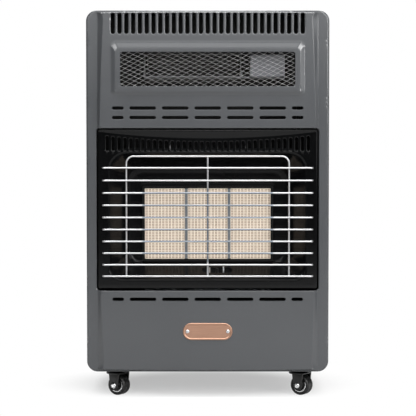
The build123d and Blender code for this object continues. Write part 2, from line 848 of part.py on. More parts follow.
def gas_manifold():
    """The pipe under the mixing tubes, its three injectors, and two brackets to the heat shield."""
    shape = rod_x(-manifold_end, manifold_end, mixing_y, manifold_z, manifold_radius)
    boss_top = manifold_z + manifold_radius + injector_boss_height
    for x in (-plaque_pitch, 0, plaque_pitch):
        shape += rod_z(x, mixing_y, manifold_z, mixing_mouth - injector_gap, injector_radius)
        shape += rod_z(x, mixing_y, manifold_z, boss_top, injector_radius + injector_boss)
    top = manifold_z + sheet
    for side in (-1, 1):
        x = side * (manifold_end - bracket_inset)
        left = x - bracket_width / 2
        right = x + bracket_width / 2
        shape += block(left, right, mixing_y, divider_y, manifold_z - sheet, top)
        shape += block(left, right, divider_y - sheet, divider_y, manifold_z - bracket_tab, top)
    return shape


def guard_bar_z(i):
    return guard_bar_top - guard_pitch_top * i + guard_pitch_step * i * (i - 1) / 2


def bent_wire(points, bend, section):
    """A wire of the given section along straight runs joined by arcs of radius bend."""
    path = FilletPolyline(*points, radius=bend)
    start = Plane(origin=path @ 0, z_dir=path % 0)
    return sweep(start * section, path=path)


def guard_bars():
    """Level wires whose ends turn back to the burner surround."""
    section = RegularPolygon(wire_radius, wire_sides)
    bars = []
    for i in range(guard_bar_count):
        z = guard_bar_z(i)
        left = (-guard_bar_half, guard_y, z)
        right = (guard_bar_half, guard_y, z)
        points = [(-guard_bar_half, bezel_y, z), left, right, (guard_bar_half, bezel_y, z)]
        bars.append(bent_wire(points, guard_bend_radius, section))
    return Compound(children=bars)


def guard_hoop():
    """The hoop behind the bars and the upright wire down its middle."""
    low = guard_bar_z(guard_bar_count - 1) - hoop_tail
    points = [
        (-hoop_half_width, hoop_y, low),
        (-hoop_half_width, hoop_y, hoop_top),
        (hoop_half_width, hoop_y, hoop_top),
        (hoop_half_width, hoop_y, low),
    ]
    hoop = bent_wire(points, hoop_bend_radius, Circle(wire_radius))
    return hoop + rod_z(0, hoop_y, low, hoop_top, wire_radius)


def pilot_seat():
    """The level shelf under the pilot's window: (y, z) of its middle."""
    y, z = pan_wall_middle()
    return y, z - pilot_seat_drop


def pilot_bracket():
    """The angle that hangs the pilot under the recess's lower wall."""
    y, z = pilot_seat()
    half = pilot_window_width / 2 + pilot_shelf_margin
    left = pilot_x - half
    right = pilot_x + half
    back_y = y + pilot_shelf_back
    shelf = block(left, right, y - pilot_shelf_front, back_y, z - sheet, z)
    wall_z = recess_low + pan_wall_rise() * (back_y - bezel_y - sheet)
    back = block(left, right, back_y, back_y + sheet, z - sheet, wall_z)
    back -= pan_form(pan_sheet + lap_gap)
    for offset in (electrode_offset, 0, probe_offset):
        shelf -= rod_z(pilot_x + offset, y, z - 2 * sheet, z + sheet, pilot_hole_radius)
    return shelf + back


def pilot_burner():
    """The upright pilot tube with its collar on the shelf."""
    y, z = pilot_seat()
    shape = rod_z(pilot_x, y, z - pilot_tube_tail, z + pilot_tube_rise, pilot_tube_radius)
    return shape + rod_z(pilot_x, y, z, z + 2 * sheet, pilot_collar_radius)


def spark_electrode():
    """A ceramic sleeve on the shelf with the spark wire through it."""
    y, z = pilot_seat()
    x = pilot_x + electrode_offset
    shape = rod_z(x, y, z - ceramic_half_length, z + ceramic_half_length, ceramic_radius)
    shape += rod_z(x, y, z, z + 2 * sheet, pilot_collar_radius)
    return shape + rod_z(x, y, z, z + electrode_rise, electrode_radius)


def thermocouple():
    """The flame probe beside the pilot."""
    y, z = pilot_seat()
    x = pilot_x + probe_offset
    shape = rod_z(x, y, z - ceramic_half_length, z + probe_rise, probe_radius)
    shape += rod_z(x, y, z - probe_sleeve_low, z + probe_sleeve_high, 2 * probe_radius)
    return shape + rod_z(x, y, z, z + 2 * sheet, probe_collar_radius)


def blower_profile(inset):
    """Section of the blower casing: a round body that opens forward into the outlet."""
    front = blower_front - (inset > 0)
    round_body = Pos(blower_y, blower_z) * Circle(housing_radius - inset)
    duct_height = outlet_high - outlet_low - 2 * inset
    duct = Rectangle(blower_y - front, duct_height)
    return round_body + Pos((front + blower_y) / 2, (outlet_high + outlet_low) / 2) * duct


def foot_bracket(left, right, y_front, z_high, tab):
    """A strip that runs back to the heat shield and turns down along it."""
    shape = block(left, right, y_front, divider_y, z_high - blower_foot_thickness, z_high)
    return shape + block(left, right, divider_y - sheet, divider_y, z_high - tab, z_high)


def blower_housing():
    """Scroll casing with end plates, an inlet in its upper back, and two feet on the heat shield."""
    left = blower_left
    right = blower_right
    wall = blower_wall
    shape = side_slab(blower_profile(0), left, right)
    shape -= side_slab(blower_profile(wall), left + wall, right - wall)
    inlet_y = blower_y + inlet_setback
    inlet_low = blower_z + inlet_rise
    inlet_high = blower_z + impeller_radius + 3 * impeller_running_gap
    inlet_back = blower_y + 2 * impeller_radius
    shape -= block(left + inlet_margin, right - inlet_margin, inlet_y, inlet_back, inlet_low, inlet_high)
    shape -= rod_x(left - wall, left + 2 * wall, blower_y, blower_z, bearing_radius - 3 * bearing_face)
    shape -= rod_x(right - 2 * wall, right + wall, blower_y, blower_z, shaft_radius + 2)
    foot_reach = impeller_radius * sin(radians(45))
    foot_z = blower_z - foot_reach + blower_foot_thickness
    for x in (left + blower_foot_inset, right - blower_foot_inset):
        foot_left = x - blower_foot_width / 2
        foot_right = x + blower_foot_width / 2
        shape += foot_bracket(foot_left, foot_right, blower_y + foot_reach, foot_z, blower_foot_tab)
    cavity = Pos(blower_y, blower_z) * Circle(housing_radius - wall)
    return shape - side_slab(cavity, left + wall, right - wall)


def blower_impeller():
    """Drum of curved-on blades between two discs, on the shaft that the motor turns."""
    left = blower_left + blower_wall + impeller_running_gap
    right = blower_right - blower_wall - impeller_running_gap
    disc = impeller_hub_thickness
    shape = rod_x(left, left + disc, blower_y, blower_z, impeller_radius)
    shape += rod_x(right - disc, right, blower_y, blower_z, impeller_radius)
    place = Pos(0, impeller_radius - impeller_blade_chord / 2 - impeller_blade_inset)
    blade = place * Rot(0, 0, impeller_blade_turn)
    blade *= Rectangle(impeller_blade_thickness, impeller_blade_chord)
    turn = 360 / impeller_blade_count
    axis = Pos(blower_y, blower_z)
    blades = [axis * Rot(0, 0, i * turn) * blade for i in range(impeller_blade_count)]
    shape += side_slab(Sketch() + blades, left + disc, right - disc)
    shaft_left = blower_left - bearing_length + shaft_end_gap
    shape += rod_x(shaft_left, left + disc, blower_y, blower_z, shaft_radius)
    return shape + rod_x(right - disc, motor_left + motor_shaft_depth, blower_y, blower_z, shaft_radius)


def blower_bearing():
    """The flanged bush in the blower's left end."""
    left = blower_left - bearing_length
    shape = rod_x(left, blower_left, blower_y, blower_z, bearing_radius)
    bore = shaft_radius + running_clearance
    return shape - rod_x(left + bearing_face, blower_left + bearing_face, blower_y, blower_z, bore)


def blower_motor():
    """The motor in its square case, on an arm from the blower and a foot on the heat shield."""
    left = motor_left
    right = left + motor_width
    back_y = blower_y + motor_depth / 2
    shape = block(left, right, back_y - motor_depth, back_y, motor_low, motor_low + motor_height)
    shape = fillet(shape.edges().filter_by(Axis.X), motor_rounding)
    plate = blower_foot_thickness
    near = blower_y - motor_arm_width / 2
    far = blower_y + motor_arm_width / 2
    shape += block(blower_right, left + plate, near, far, motor_low, motor_low + plate)
    shape += block(blower_right, blower_right + plate, near, far, motor_low, motor_low + bracket_tab)
    foot_top = motor_low + bracket_tab
    shape += foot_bracket(left + 3 * plate, right - 3 * plate, back_y - sheet, foot_top, bracket_tab)
    bore = shaft_radius + running_clearance
    return shape - rod_x(left - plate, left + motor_bore_depth, blower_y, blower_z, bore)


def control_well():
    """The moulded well sunk into the top, with holes for the controls."""
    top = cabinet_top - sheet - lap_gap
    place = Pos(well_x, well_y)
    outer = RectangleRounded(well_width, well_length, well_rounding)
    inner_width = well_width - 2 * well_wall
    inner_length = well_length - 2 * well_wall
    inner = RectangleRounded(inner_width, inner_length, well_rounding - well_wall)
    rim = RectangleRounded(well_width + 2 * well_flange, well_length + 2 * well_flange, well_rounding)
    shape = level_slab(place * outer, valve_seat, top) + level_slab(place * rim, top - well_wall, top)
    shape -= level_slab(place * inner, well_floor, top + well_wall)
    low = valve_seat - well_wall
    high = well_floor + well_wall
    shape -= rod_z(knob_x, well_y, low, high, spindle_radius + spindle_hole_gap)
    shape -= rod_z(igniter_x, igniter_y, low, high, igniter_radius + well_wall + lap_gap)
    cut_x = rocker_width / 2 + rocker_frame / 2 + lap_gap
    cut_y = rocker_length / 2 + rocker_frame / 2 + lap_gap
    shape -= block(rocker_x - cut_x, rocker_x + cut_x, rocker_y - cut_y, rocker_y + cut_y, low, high)
    return shape


def gas_valve():
    """The valve body under the well, with the neck that guides the spindle."""
    half = valve_width / 2
    low = valve_top - valve_height
    shape = block(knob_x - half, knob_x + half, well_y - half, well_y + half, low, valve_top)
    shape = fillet(shape.edges().filter_by(Axis.Z), valve_rounding)
    shape += rod_z(knob_x, well_y, valve_top - well_wall, valve_seat, valve_neck_radius)
    bore = spindle_radius + running_clearance
    return shape - rod_z(knob_x, well_y, valve_top - spindle_bore_depth, valve_seat + well_wall, bore)


def valve_spindle():
    """The stem that the knob pushes down."""
    low = valve_top - spindle_bore_depth + knob_travel + 2 * spindle_end_gap
    high = cabinet_top - knob_crown - spindle_end_gap
    return rod_z(knob_x, well_y, low, high, spindle_radius)


def control_knob():
    """The knob: a skirt, a grip with shallow finger flutes, and a socket for the stem."""
    skirt_top = knob_bottom + knob_skirt
    shape = rod_z(knob_x, well_y, skirt_top, cabinet_top, knob_radius - knob_grip_inset)
    shape = chamfer(shape.edges().sort_by(Axis.Z)[-1], knob_top_chamfer)
    reach = knob_radius - knob_flute_place
    for i in range(knob_grips):
        angle = radians(i * 360 / knob_grips)
        x = knob_x + reach * cos(angle)
        y = well_y + reach * sin(angle)
        shape -= rod_z(x, y, skirt_top, cabinet_top + sheet, knob_flute_radius)
    shape += rod_z(knob_x, well_y, knob_bottom, skirt_top, knob_radius)
    bore = spindle_radius + running_clearance
    return shape - rod_z(knob_x, well_y, knob_bottom - sheet, cabinet_top - knob_crown, bore)


def igniter_body():
    """The spark igniter's case, clamped in the floor of the well by its collar."""
    top = well_floor + igniter_collar_height
    case_radius = igniter_radius + well_wall
    shape = rod_z(igniter_x, igniter_y, well_floor - igniter_depth, well_floor, case_radius)
    shape += rod_z(igniter_x, igniter_y, well_floor, top, igniter_collar_radius)
    bore_low = top - igniter_button_height - igniter_travel
    return shape - rod_z(igniter_x, igniter_y, bore_low, top + sheet, igniter_radius + button_gap)


def igniter_button():
    top = well_floor + igniter_collar_height + igniter_travel + igniter_proud
    shape = rod_z(igniter_x, igniter_y, top - igniter_button_height, top, igniter_radius)
    return chamfer(shape.edges().sort_by(Axis.Z)[-1], button_chamfer)


def rocker_block(half_x, half_y, z_low, z_high):
    return block(rocker_x - half_x, rocker_x + half_x, rocker_y - half_y, rocker_y + half_y, z_low, z_high)


def switch_frame():
    """The rocker switch's case and bezel."""
    half_x = rocker_width / 2
    half_y = rocker_length / 2
    body = rocker_frame / 2
    top = well_floor + rocker_frame_height
    shape = rocker_block(half_x + body, half_y + body, well_floor - rocker_depth, well_floor)
    shape += rocker_block(half_x + rocker_frame, half_y + rocker_frame, well_floor, top)
    return shape - rocker_block(half_x + button_gap, half_y + button_gap, top - rocker_well, top + sheet)


def switch_rocker():
    """The rocker: a shallow V-topped paddle that tips about X."""
    half = rocker_length / 2 - rocker_end_gap
    foot = well_floor - sheet
    crest = well_floor + rocker_end_height
    middle = well_floor + rocker_middle_height
    root = well_floor - rocker_root
    points = [(-half, foot), (-half, crest), (0, middle), (half, crest), (half, foot), (0, root)]
    section = Pos(rocker_y, 0) * make_face(Polyline(*points, points[0]))
    return side_slab(section, rocker_x - rocker_width / 2, rocker_x + rocker_width / 2)


def hose_tail():
    """The inlet nozzle for the gas hose, screwed into the valve's side."""
    nut = hose_face - hose_nut_length
    shape = rod_x(nut, hose_face, well_y, valve_port_z, hose_nut_radius)
    return shape + rod_x(nut - hose_tail_length, nut, well_y, valve_port_z, hose_tail_radius)


def supply_tube():
    """The pipe from the valve forward through the heat shield and down to the manifold."""
    points = [
        (supply_x, well_y - valve_width / 2, valve_port_z),
        (supply_x, mixing_y, valve_port_z),
        (supply_x, mixing_y, manifold_z),
        (manifold_end, mixing_y, manifold_z),
    ]
    return bent_wire(points, supply_tube_bend, Circle(supply_tube_radius))


def badge_plate():
    front = panel_y - badge_thickness
    place = Pos(0, badge_z)
    plate = SlotOverall(badge_width, badge_height)
    face = SlotOverall(badge_width - 2 * badge_rim, badge_height - 2 * badge_rim)
    return slab(place * plate, front, panel_y) - slab(place * face, front, front + badge_sink)


def badge_rivets():
    """Two domed rivet heads on the badge."""
    foot = panel_y - badge_thickness + badge_sink
    front = foot - badge_rivet_height
    heads = []
    for side in (-1, 1):
        head = rod_y(side * badge_rivet_offset, front, foot, badge_z, badge_rivet_radius)
        heads.append(chamfer(head.edges().sort_by(Axis.Y)[0], badge_rivet_height / 2))
    return Compound(children=heads)


def cover_form(inset):
    """The raised part of the rear cover as a filled form."""
    width = cover_width - 2 * cover_shoulder - 2 * inset
    low = cover_low + cover_shoulder + inset
    high = cover_low + cover_height - cover_shoulder - inset
    foot = frame_rectangle(width, low, high, cover_foot_rounding)
    face_width = width - 2 * cover_slope
    face = frame_rectangle(face_width, low + cover_slope, high - cover_slope, cover_face_rounding)
    foot_plane = front_plane(cover_y - cover_sheet)
    return loft([foot_plane * foot, front_plane(rear_y - inset) * face], ruled=True)


def cover_vents():
    """Two banks of level slots, near the top and near the bottom of the raised part."""
    slot = SlotOverall(cover_vent_length, cover_vent_height)
    reach = cover_height / 2 - cover_shoulder - 2 * cover_slope - cover_vent_margin
    vents = []
    for row in range(cover_vent_rows):
        rise = reach - row * cover_vent_pitch
        for z in (cover_z - rise, cover_z + rise):
            vents += [Pos(side * cover_vent_offset, z) * slot for side in (-1, 1)]
    return slab(Sketch() + vents, rear_y - 3 * cover_sheet, rear_y + cover_sheet)


def rear_cover():
    """The pressed cover over the bottle bay, with vents above and below."""
    border = frame_rectangle(cover_width, cover_low, cover_low + cover_height, cover_rounding)
    shape = slab(border, cover_y - cover_sheet, cover_y)
    shape = shape + cover_form(0) - cover_form(cover_sheet)
    return shape - cover_vents() - screw_holes(cover_shank_radius + lap_gap)


def cover_screws():
    """Four captive thumbscrews."""
    screws = []
    for x, z in screw_places():
        head = rod_y(x, cover_y, cover_y + cover_screw_height, z, cover_screw_radius)
        head = chamfer(head.edges().sort_by(Axis.Y)[-1], cover_screw_chamfer)
        screws.append(head + rod_y(x, casing_rear - 3 * sheet, cover_y, z, cover_shank_radius))
    return Compound(children=screws)


def handle_cup(side):
    """The moulded finger cup behind the slot in one side panel."""
    wall_x = half_width - sheet
    deep = wall_x - handle_depth
    place = Pos(handle_y, handle_z)
    outer = SlotOverall(handle_length + 2 * handle_wall, handle_height + 2 * handle_wall)
    rim = SlotOverall(handle_length + 2 * handle_flange, handle_height + 2 * handle_flange)
    inner = SlotOverall(handle_length, handle_height)
    shape = side_slab(place * outer, deep, wall_x)
    shape += side_slab(place * rim, wall_x - handle_wall, wall_x)
    shape -= side_slab(place * inner, deep + handle_wall, wall_x + sheet)
    if side < 0:
        shape = mirror(shape, about=Plane.YZ)
    return shape


def cable_gland():
    """The flanged bush for the mains lead, in the tray's rear edge."""
    rear = casing_rear + gland_head
    front = rear - gland_length
    shape = rod_y(gland_x, casing_rear, rear, gland_z, gland_head_radius)
    shape = chamfer(shape.edges().sort_by(Axis.Y)[-1], gland_chamfer)
    shape += rod_y(gland_x, front, casing_rear, gland_z, gland_radius)
    return shape - rod_y(gland_x, front - sheet, rear + sheet, gland_z, gland_bore)


def caster_places():
    """The four swivel axes: a short name, x and y."""
    rows = (("front", front_y + caster_front), ("rear", rear_y - caster_rear))
    sides = (("left", -caster_x), ("right", caster_x))
    return [(f"{row}_{side}", x, y) for row, y in rows for side, x in sides]


def caster_plate():
    """The fixed plate under the tray with the raceway ring, about the swivel axis."""
    high = caster_plate_low + caster_plate_thickness
    square = RectangleRounded(caster_plate_size, caster_plate_size, caster_plate_rounding)
    shape = level_slab(square, caster_plate_low, high)
    shape += rod_z(0, 0, crown_high + race_gap, caster_plate_low, race_radius)
    return shape - rod_z(0, 0, crown_low, high + race_gap, king_pin_radius + running_clearance)


def caster_fork():
    """Crown, king pin and two legs; the axle lies along local X, and the wheel trails along local Y."""
    pin_top = caster_plate_low + caster_plate_thickness - race_gap
    shape = rod_z(0, 0, crown_low, crown_high, crown_radius)
    shoulder = Pos(0, caster_trail) * Rectangle(2 * leg_outer, leg_top_width)
    shape += level_slab(shoulder, crown_low, crown_high)
    shape += rod_z(0, 0, crown_high, pin_top, king_pin_radius)
    top = Rectangle(leg_top_width, crown_thickness)
    top = Pos(caster_trail, (crown_low + crown_high) / 2) * top
    foot = Pos(caster_trail, wheel_radius) * Circle(leg_foot_radius)
    leg = make_hull((Sketch() + [top, foot]).edges())
    shape += side_slab(leg, leg_inner, leg_outer) + side_slab(leg, -leg_outer, -leg_inner)
    bore = axle_radius + running_clearance
    return shape - rod_x(-2 * leg_outer, 2 * leg_outer, caster_trail, wheel_radius, bore)


def caster_axle():
    """The axle bolt with its domed heads outside the legs."""
    reach = leg_outer + axle_head_height
    shape = rod_x(-reach, reach, caster_trail, wheel_radius, axle_radius)
    for side in (-1, 1):
        low = min(side * leg_outer, side * reach)
        head = rod_x(low, low + axle_head_height, caster_trail, wheel_radius, axle_head_radius)
        edge = head.edges().sort_by(Axis.X)[0 if side < 0 else -1]
        shape += chamfer(edge, axle_head_chamfer)
    return shape


def caster_wheel():
    """The wheel with dished faces and a long hub, and the pale ring let into each face."""
    half = wheel_width / 2
    hub = leg_inner - leg_side_clearance
    bore = axle_radius + running_clearance
    shoulder = wheel_radius - wheel_shoulder
    dish = half - wheel_dish
    tread = half - wheel_tread_edge
    lower = [
        (bore, -hub),
        (hub_radius, -hub),
        (hub_radius, -dish),
        (wheel_ring_outer, -dish),
        (shoulder, -half),
        (wheel_radius, -tread),
    ]
    upper = [(radius, -height) for radius, height in reversed(lower)]
    section = make_face(Polyline(*lower, *upper, lower[0]))
    pieces = [revolve(Plane.XY * section, axis=Axis.Y)]
    ring = Cylinder(wheel_ring_outer - wheel_ring_edge, wheel_ring_thickness)
    ring -= Cylinder(wheel_ring_inner, wheel_ring_thickness)
    for side in (-1, 1):
        middle = side * (dish + wheel_ring_thickness / 2)
        pieces.append(Pos(0, middle, 0) * Rot(90, 0, 0) * ring)
    turned = [Pos(0, caster_trail, wheel_radius) * Rot(0, 0, -90) * piece for piece in pieces]
    return Compound(children=turned)


def write(name, shape):
    export_step(shape, f"parts/{name}.step")


def write_cabinet():
    write("front_fascia", front_fascia())
    write("side_panel_left", side_panel(-1))
    write("side_panel_right", side_panel(1))
    write("top_panel", top_panel())
    write("base_tray", base_tray())
    write("divider_panel", divider_panel())
    write("mesh_panel", mesh_panel())
    write("handle_cup_left", handle_cup(-1))
    write("handle_cup_right", handle_cup(1))
    write("cable_gland", cable_gland())
    write("badge_plate", badge_plate())
    write("badge_rivets", badge_rivets())
    write("rear_cover", rear_cover())
    write("cover_screws", cover_screws())


def write_burner():
    write("burner_bezel", burner_bezel())
    write("reflector_pan", reflector_pan())
    write("plaque_frame", plaque_frame())
    write("plaque_left", ceramic_plaque(-plaque_pitch))
    write("plaque_centre", ceramic_plaque(0))
    write("plaque_right", ceramic_plaque(plaque_pitch))
    write("burner_plenum", burner_plenum())
    write("gas_manifold", gas_manifold())
    write("guard_bars", guard_bars())
    write("guard_hoop", guard_hoop())
    write("pilot_bracket", pilot_bracket())
    write("pilot_burner", pilot_burner())
    write("spark_electrode", spark_electrode())
    write("thermocouple", thermocouple())


def write_blower():
    write("blower_housing", blower_housing())
    write("blower_impeller", blower_impeller())
    write("blower_bearing", blower_bearing())
    write("blower_motor", blower_motor())


def write_controls():
    write("control_well", control_well())
    write("gas_valve", gas_valve())
    write("valve_spindle", valve_spindle())
    write("control_knob", control_knob())
    write("igniter_body", igniter_body())
    write("igniter_button", igniter_button())
    write("switch_frame", switch_frame())
    write("switch_rocker", switch_rocker())
    write("hose_tail", hose_tail())
    write("supply_tube", supply_tube())


def write_casters():
    plate = caster_plate()
    turned = {"fork": caster_fork(), "axle": caster_axle(), "wheel": caster_wheel()}
    for place, x, y in caster_places():
        write(f"caster_plate_{place}", Pos(x, y, 0) * plate)
        for piece, shape in turned.items():
            write(f"caster_{piece}_{place}", Pos(x, y, 0) * Rot(0, 0, caster_turn) * shape)


os.makedirs("parts", exist_ok=True)
write_cabinet()
write_burner()
write_blower()
write_controls()
write_casters()
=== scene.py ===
import json
from math import cos, pi, radians, sin, tau
from types import SimpleNamespace

import bmesh
import bpy
import numpy as np
from bpy.props import FloatProperty, FloatVectorProperty, IntProperty, PointerProperty
from bpy.types import Operator, Panel, PropertyGroup
from mathutils import Matrix, Vector
from mathutils.geometry import delaunay_2d_cdt


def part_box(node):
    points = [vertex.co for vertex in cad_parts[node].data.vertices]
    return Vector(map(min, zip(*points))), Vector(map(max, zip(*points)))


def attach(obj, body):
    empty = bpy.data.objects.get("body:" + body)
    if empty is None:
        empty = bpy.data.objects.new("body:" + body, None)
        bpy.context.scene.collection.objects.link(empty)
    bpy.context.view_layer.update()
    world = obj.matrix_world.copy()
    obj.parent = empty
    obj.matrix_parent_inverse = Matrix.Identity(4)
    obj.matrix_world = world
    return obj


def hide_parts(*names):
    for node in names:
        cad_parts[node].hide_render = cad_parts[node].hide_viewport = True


bl_info = {
    "name": "Portable Gas Cabinet Heater",
    "version": (1, 0, 0),
    "blender": (4, 5, 0),
    "location": "3D View > Sidebar > Heater",
    "description": "Dresses the packed heater with pressed, drilled and turned pieces and their finishes",
    "category": "Object",
}

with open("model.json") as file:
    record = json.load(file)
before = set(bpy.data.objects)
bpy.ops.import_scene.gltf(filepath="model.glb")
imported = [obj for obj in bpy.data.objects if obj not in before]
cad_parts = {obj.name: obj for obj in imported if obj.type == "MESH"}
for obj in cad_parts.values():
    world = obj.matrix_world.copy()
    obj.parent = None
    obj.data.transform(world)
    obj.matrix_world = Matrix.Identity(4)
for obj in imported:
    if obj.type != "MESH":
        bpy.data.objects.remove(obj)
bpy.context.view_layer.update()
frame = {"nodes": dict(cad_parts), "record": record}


# ---------------------------------------------------------------- sizes taken from the frame


def corners(node):
    """Lowest and highest corner of a CAD node, in millimetres."""
    low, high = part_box(node)
    return np.array(low) * 1000, np.array(high) * 1000


def body_of(node):
    """The body that a CAD node belongs to."""
    bodies = frame["record"]["behaviour"]["bodies"]
    return next(body for body, members in bodies.items() if node in members)


FRONT_LOW, FRONT_HIGH = corners("front_fascia")
UNDERSIDE = FRONT_LOW[2]
TOP = FRONT_HIGH[2]
FRONT_Y = FRONT_LOW[1]
RIM_Y = FRONT_HIGH[1]
BEZEL_LOW, BEZEL_HIGH = corners("burner_bezel")
PAN_LOW, PAN_HIGH = corners("reflector_pan")
MESH_LOW, MESH_HIGH = corners("mesh_panel")
PLAQUE_LOW, PLAQUE_HIGH = corners("plaque_centre")
PLAQUE_Z = (PLAQUE_LOW[2] + PLAQUE_HIGH[2]) / 2
FACE_Y = FRONT_Y + 9  # face of the burner surround


# ---------------------------------------------------------------- sizes that more than one piece uses


TINY = 1e-12  # keeps a division from being one by nought
SPECK = 1e-3  # radius that stands for a point
SURROUND_SHEET = 1.2  # thickness of the burner surround
MOUTH_TOP, MOUTH_FOOT = 32, 22  # corner radii of the recess's mouth
LEVEL_SLOT = 2.95  # half the height of a level slot
LONG_SLOT, SHORT_SLOT = 24.4, 10.65  # half the lengths of the level slots
SOFTENED_ANGLE = 32.0  # edges sharper than this get a bevel
DUCT_LIT_BAND = 0.598  # height of the painted band of light on the blower housing's lower lip, in metres
MIDDLE = (0.0, -0.15, 0.4)  # what most lamps point at, in metres


# ---------------------------------------------------------------- properties


def length(name, description, millimetres):
    """A length that is given in millimetres and kept in metres."""
    return FloatProperty(
        name=name, description=description, default=millimetres / 1000, unit="LENGTH", precision=5
    )


def colour(name, description, red, green, blue):
    """An opaque colour."""
    return FloatVectorProperty(
        name=name,
        description=description,
        default=(red, green, blue, 1.0),
        size=4,
        min=0.0,
        max=1.0,
        subtype="COLOR",
    )


class HeaterFrontSizes(PropertyGroup):
    sheet: length("Sheet", "Thickness of the pressed steel", 1.2)
    corner: length("Corner radius", "Corner of the cabinet seen from the front", 19.0)
    rim_rounding: length("Rim rounding", "Radius that the front wraps back over", 4.4)
    pillar: length("Pillar width", "Flat strip at each side of the raised panel", 20.0)
    panel_height: length("Panel height", "Raised panel above the pillars", 8.0)
    end_slope: length("Slope at the ends", "Width of the panel's sloping side at top and bottom", 13.0)
    middle_slope: length("Slope at the middle", "Width of the sloping side at half height", 4.0)
    slot_pitch: length("Slot pitch", "Middle to middle of the upright slots", 12.5)
    slot_width: length("Slot width", "Width of an upright slot", 7.0)
    slot_length: length("Slot length", "Length of an upright slot", 39.0)
    slot_count: IntProperty(name="Slots", description="Upright slots in the top row", default=29, min=1)
    surround_width: length("Surround width", "Foot of the raised frame round the mesh", 362.0)
    surround_tall: length("Surround height", "Foot of the raised frame, low to high", 103.0)
    surround_drop: length("Surround drop", "Frame's foot below the top of the cabinet", 54.0)
    window_width: length("Window width", "Opening over the stretched mesh", 322.0)
    window_height: length("Window height", "Opening over the stretched mesh", 63.0)
    window_rise: length("Window rise", "Window above the frame's lower edge", 17.0)
    slot_roll: length("Slot roll", "Radius that the sheet rolls in round each upright slot", 2.2)


class HeaterBurnerSizes(PropertyGroup):
    visor_height: length("Visor height", "How far the visor stands forward", 4.0)
    slot_pitch: length("Slot pitch", "Middle to middle of the surround's slots", 10.95)
    slot_width: length("Slot width", "Width of a slot over the recess", 4.1)
    slot_count: IntProperty(name="Slots", description="Slots over the recess", default=35, min=1)
    recess_width: length("Recess width", "Mouth of the recess", 366.0)
    recess_tall: length("Recess height", "Mouth of the recess", 235.0)
    recess_rise: length("Recess rise", "Mouth above the surround's lower edge", 19.5)
    floor_width: length("Floor width", "Back of the recess", 296.0)
    floor_tall: length("Floor height", "Back of the recess", 177.0)
    floor_rise: length("Floor rise", "Back of the recess above its mouth's lower edge", 29.0)
    floor_curve: length("Floor curve", "Radius between the recess's walls and its back", 11.0)
    plaque_width: length("Plaque width", "Visible width of a plaque", 75.5)
    plaque_height: length("Plaque height", "Visible height of a plaque", 133.0)
    plaque_pitch: length("Plaque pitch", "Middle to middle of the plaques", 80.7)
    surround_gap: length("Surround gap", "Dark gap left round the burner surround", 2.0)
    tile_width: length("Column pitch", "Width of one column of the plaque's holes", 6.29)
    tile_height: length("Row pitch", "Height of one row of the plaque's holes", 3.0)


class HeaterWireSizes(PropertyGroup):
    wire: length("Wire radius", "Radius of the guard's wires", 1.6)
    bars: IntProperty(name="Bars", description="Level bars of the guard", default=10, min=2)
    bar_drop: length("Top bar drop", "Top bar below the mouth of the recess", 27.4)
    bar_reach: length("Bar reach", "Bars beyond each side of the recess", 11.0)
    pitch: length("Bar pitch", "Gap between the two top bars' middles", 23.3)
    pitch_step: length("Pitch step", "How much each gap is smaller than the one above", 0.25)
    bend: length("Bar bend", "Radius of a bar's bent ends", 4.0)
    hoop_half: length("Hoop half width", "Hoop's legs from the middle", 150.5)
    hoop_drop: length("Hoop drop", "Hoop below the mouth of the recess", 6.0)
    hoop_bend: length("Hoop bend", "Radius of the hoop's upper corners", 13.0)
    strand: length("Mesh strand", "Width of a strand of the stretched mesh", 0.26)


class HeaterCasterSizes(PropertyGroup):
    wheel: length("Wheel radius", "Radius of a caster's wheel", 19.0)
    wheel_width: length("Wheel width", "Width of a caster's wheel", 22.0)
    trail: length("Trail", "Axle from the swivel axis", 6.0)
    turn: FloatProperty(
        name="Turn", description="How the casters happen to stand", default=radians(239), subtype="ANGLE"
    )
    crown: length("Crown radius", "Radius of the fork's crown", 19.0)
    leg: length("Leg thickness", "Thickness of a fork leg", 2.0)


class HeaterFinishes(PropertyGroup):
    body: colour("Body", "Satin enamel of the cabinet", 0.052, 0.0545, 0.058)
    enamel: colour("Burner enamel", "Glossy heat-proof enamel", 0.0024, 0.0025, 0.0027)
    copper: colour("Badge", "Brushed copper", 0.405, 0.236, 0.164)
    ceramic: colour("Plaques", "Unglazed cream ceramic", 0.75, 0.645, 0.53)
    zinc: colour("Zinc", "Galvanised and plated steel", 0.60, 0.61, 0.62)
    chrome: colour("Chrome", "Chromed wire", 0.50, 0.50, 0.51)
    brass: colour("Brass", "Turned brass", 0.62, 0.42, 0.15)
    plastic: colour("Black plastic", "Moulded parts", 0.018, 0.018, 0.019)
    red: colour("Red plastic", "Igniter button and rocker", 0.42, 0.012, 0.010)


def millimetres(group):
    """A property group's lengths in millimetres, with counts and angles as they are."""
    values = {}
    for key in group.bl_rna.properties.keys():
        if key in ("rna_type", "name"):
            continue
        value = getattr(group, key)
        if group.bl_rna.properties[key].type == "FLOAT" and group.bl_rna.properties[key].unit == "LENGTH":
            value = round(value * 1000, 4)
        values[key] = value
    return SimpleNamespace(**values)


# ---------------------------------------------------------------- node trees


class Wire:
    """A socket of a node tree that can be used in sums."""

    def __init__(self, graph, socket):
        self.graph, self.socket = graph, socket

    def maths(self, operation, *parts):
        return self.graph.node("ShaderNodeMath", parts, operation=operation)

    def __mul__(self, other):
        return self.maths("MULTIPLY", self, other)

    __rmul__ = __mul__

    def __sub__(self, other):
        return self.maths("SUBTRACT", self, other)

    def __rsub__(self, other):
        return self.maths("SUBTRACT", other, self)

    def absolute(self):
        return self.maths("ABSOLUTE", self)

    def spread(self, low, high, to_low=0.0, to_high=1.0):
        """This value's range from low to high, eased to another range."""
        limits = {"Value": self, "From Min": low, "From Max": high, "To Min": to_low, "To Max": to_high}
        return self.graph.node("ShaderNodeMapRange", limits, interpolation_type="SMOOTHSTEP")


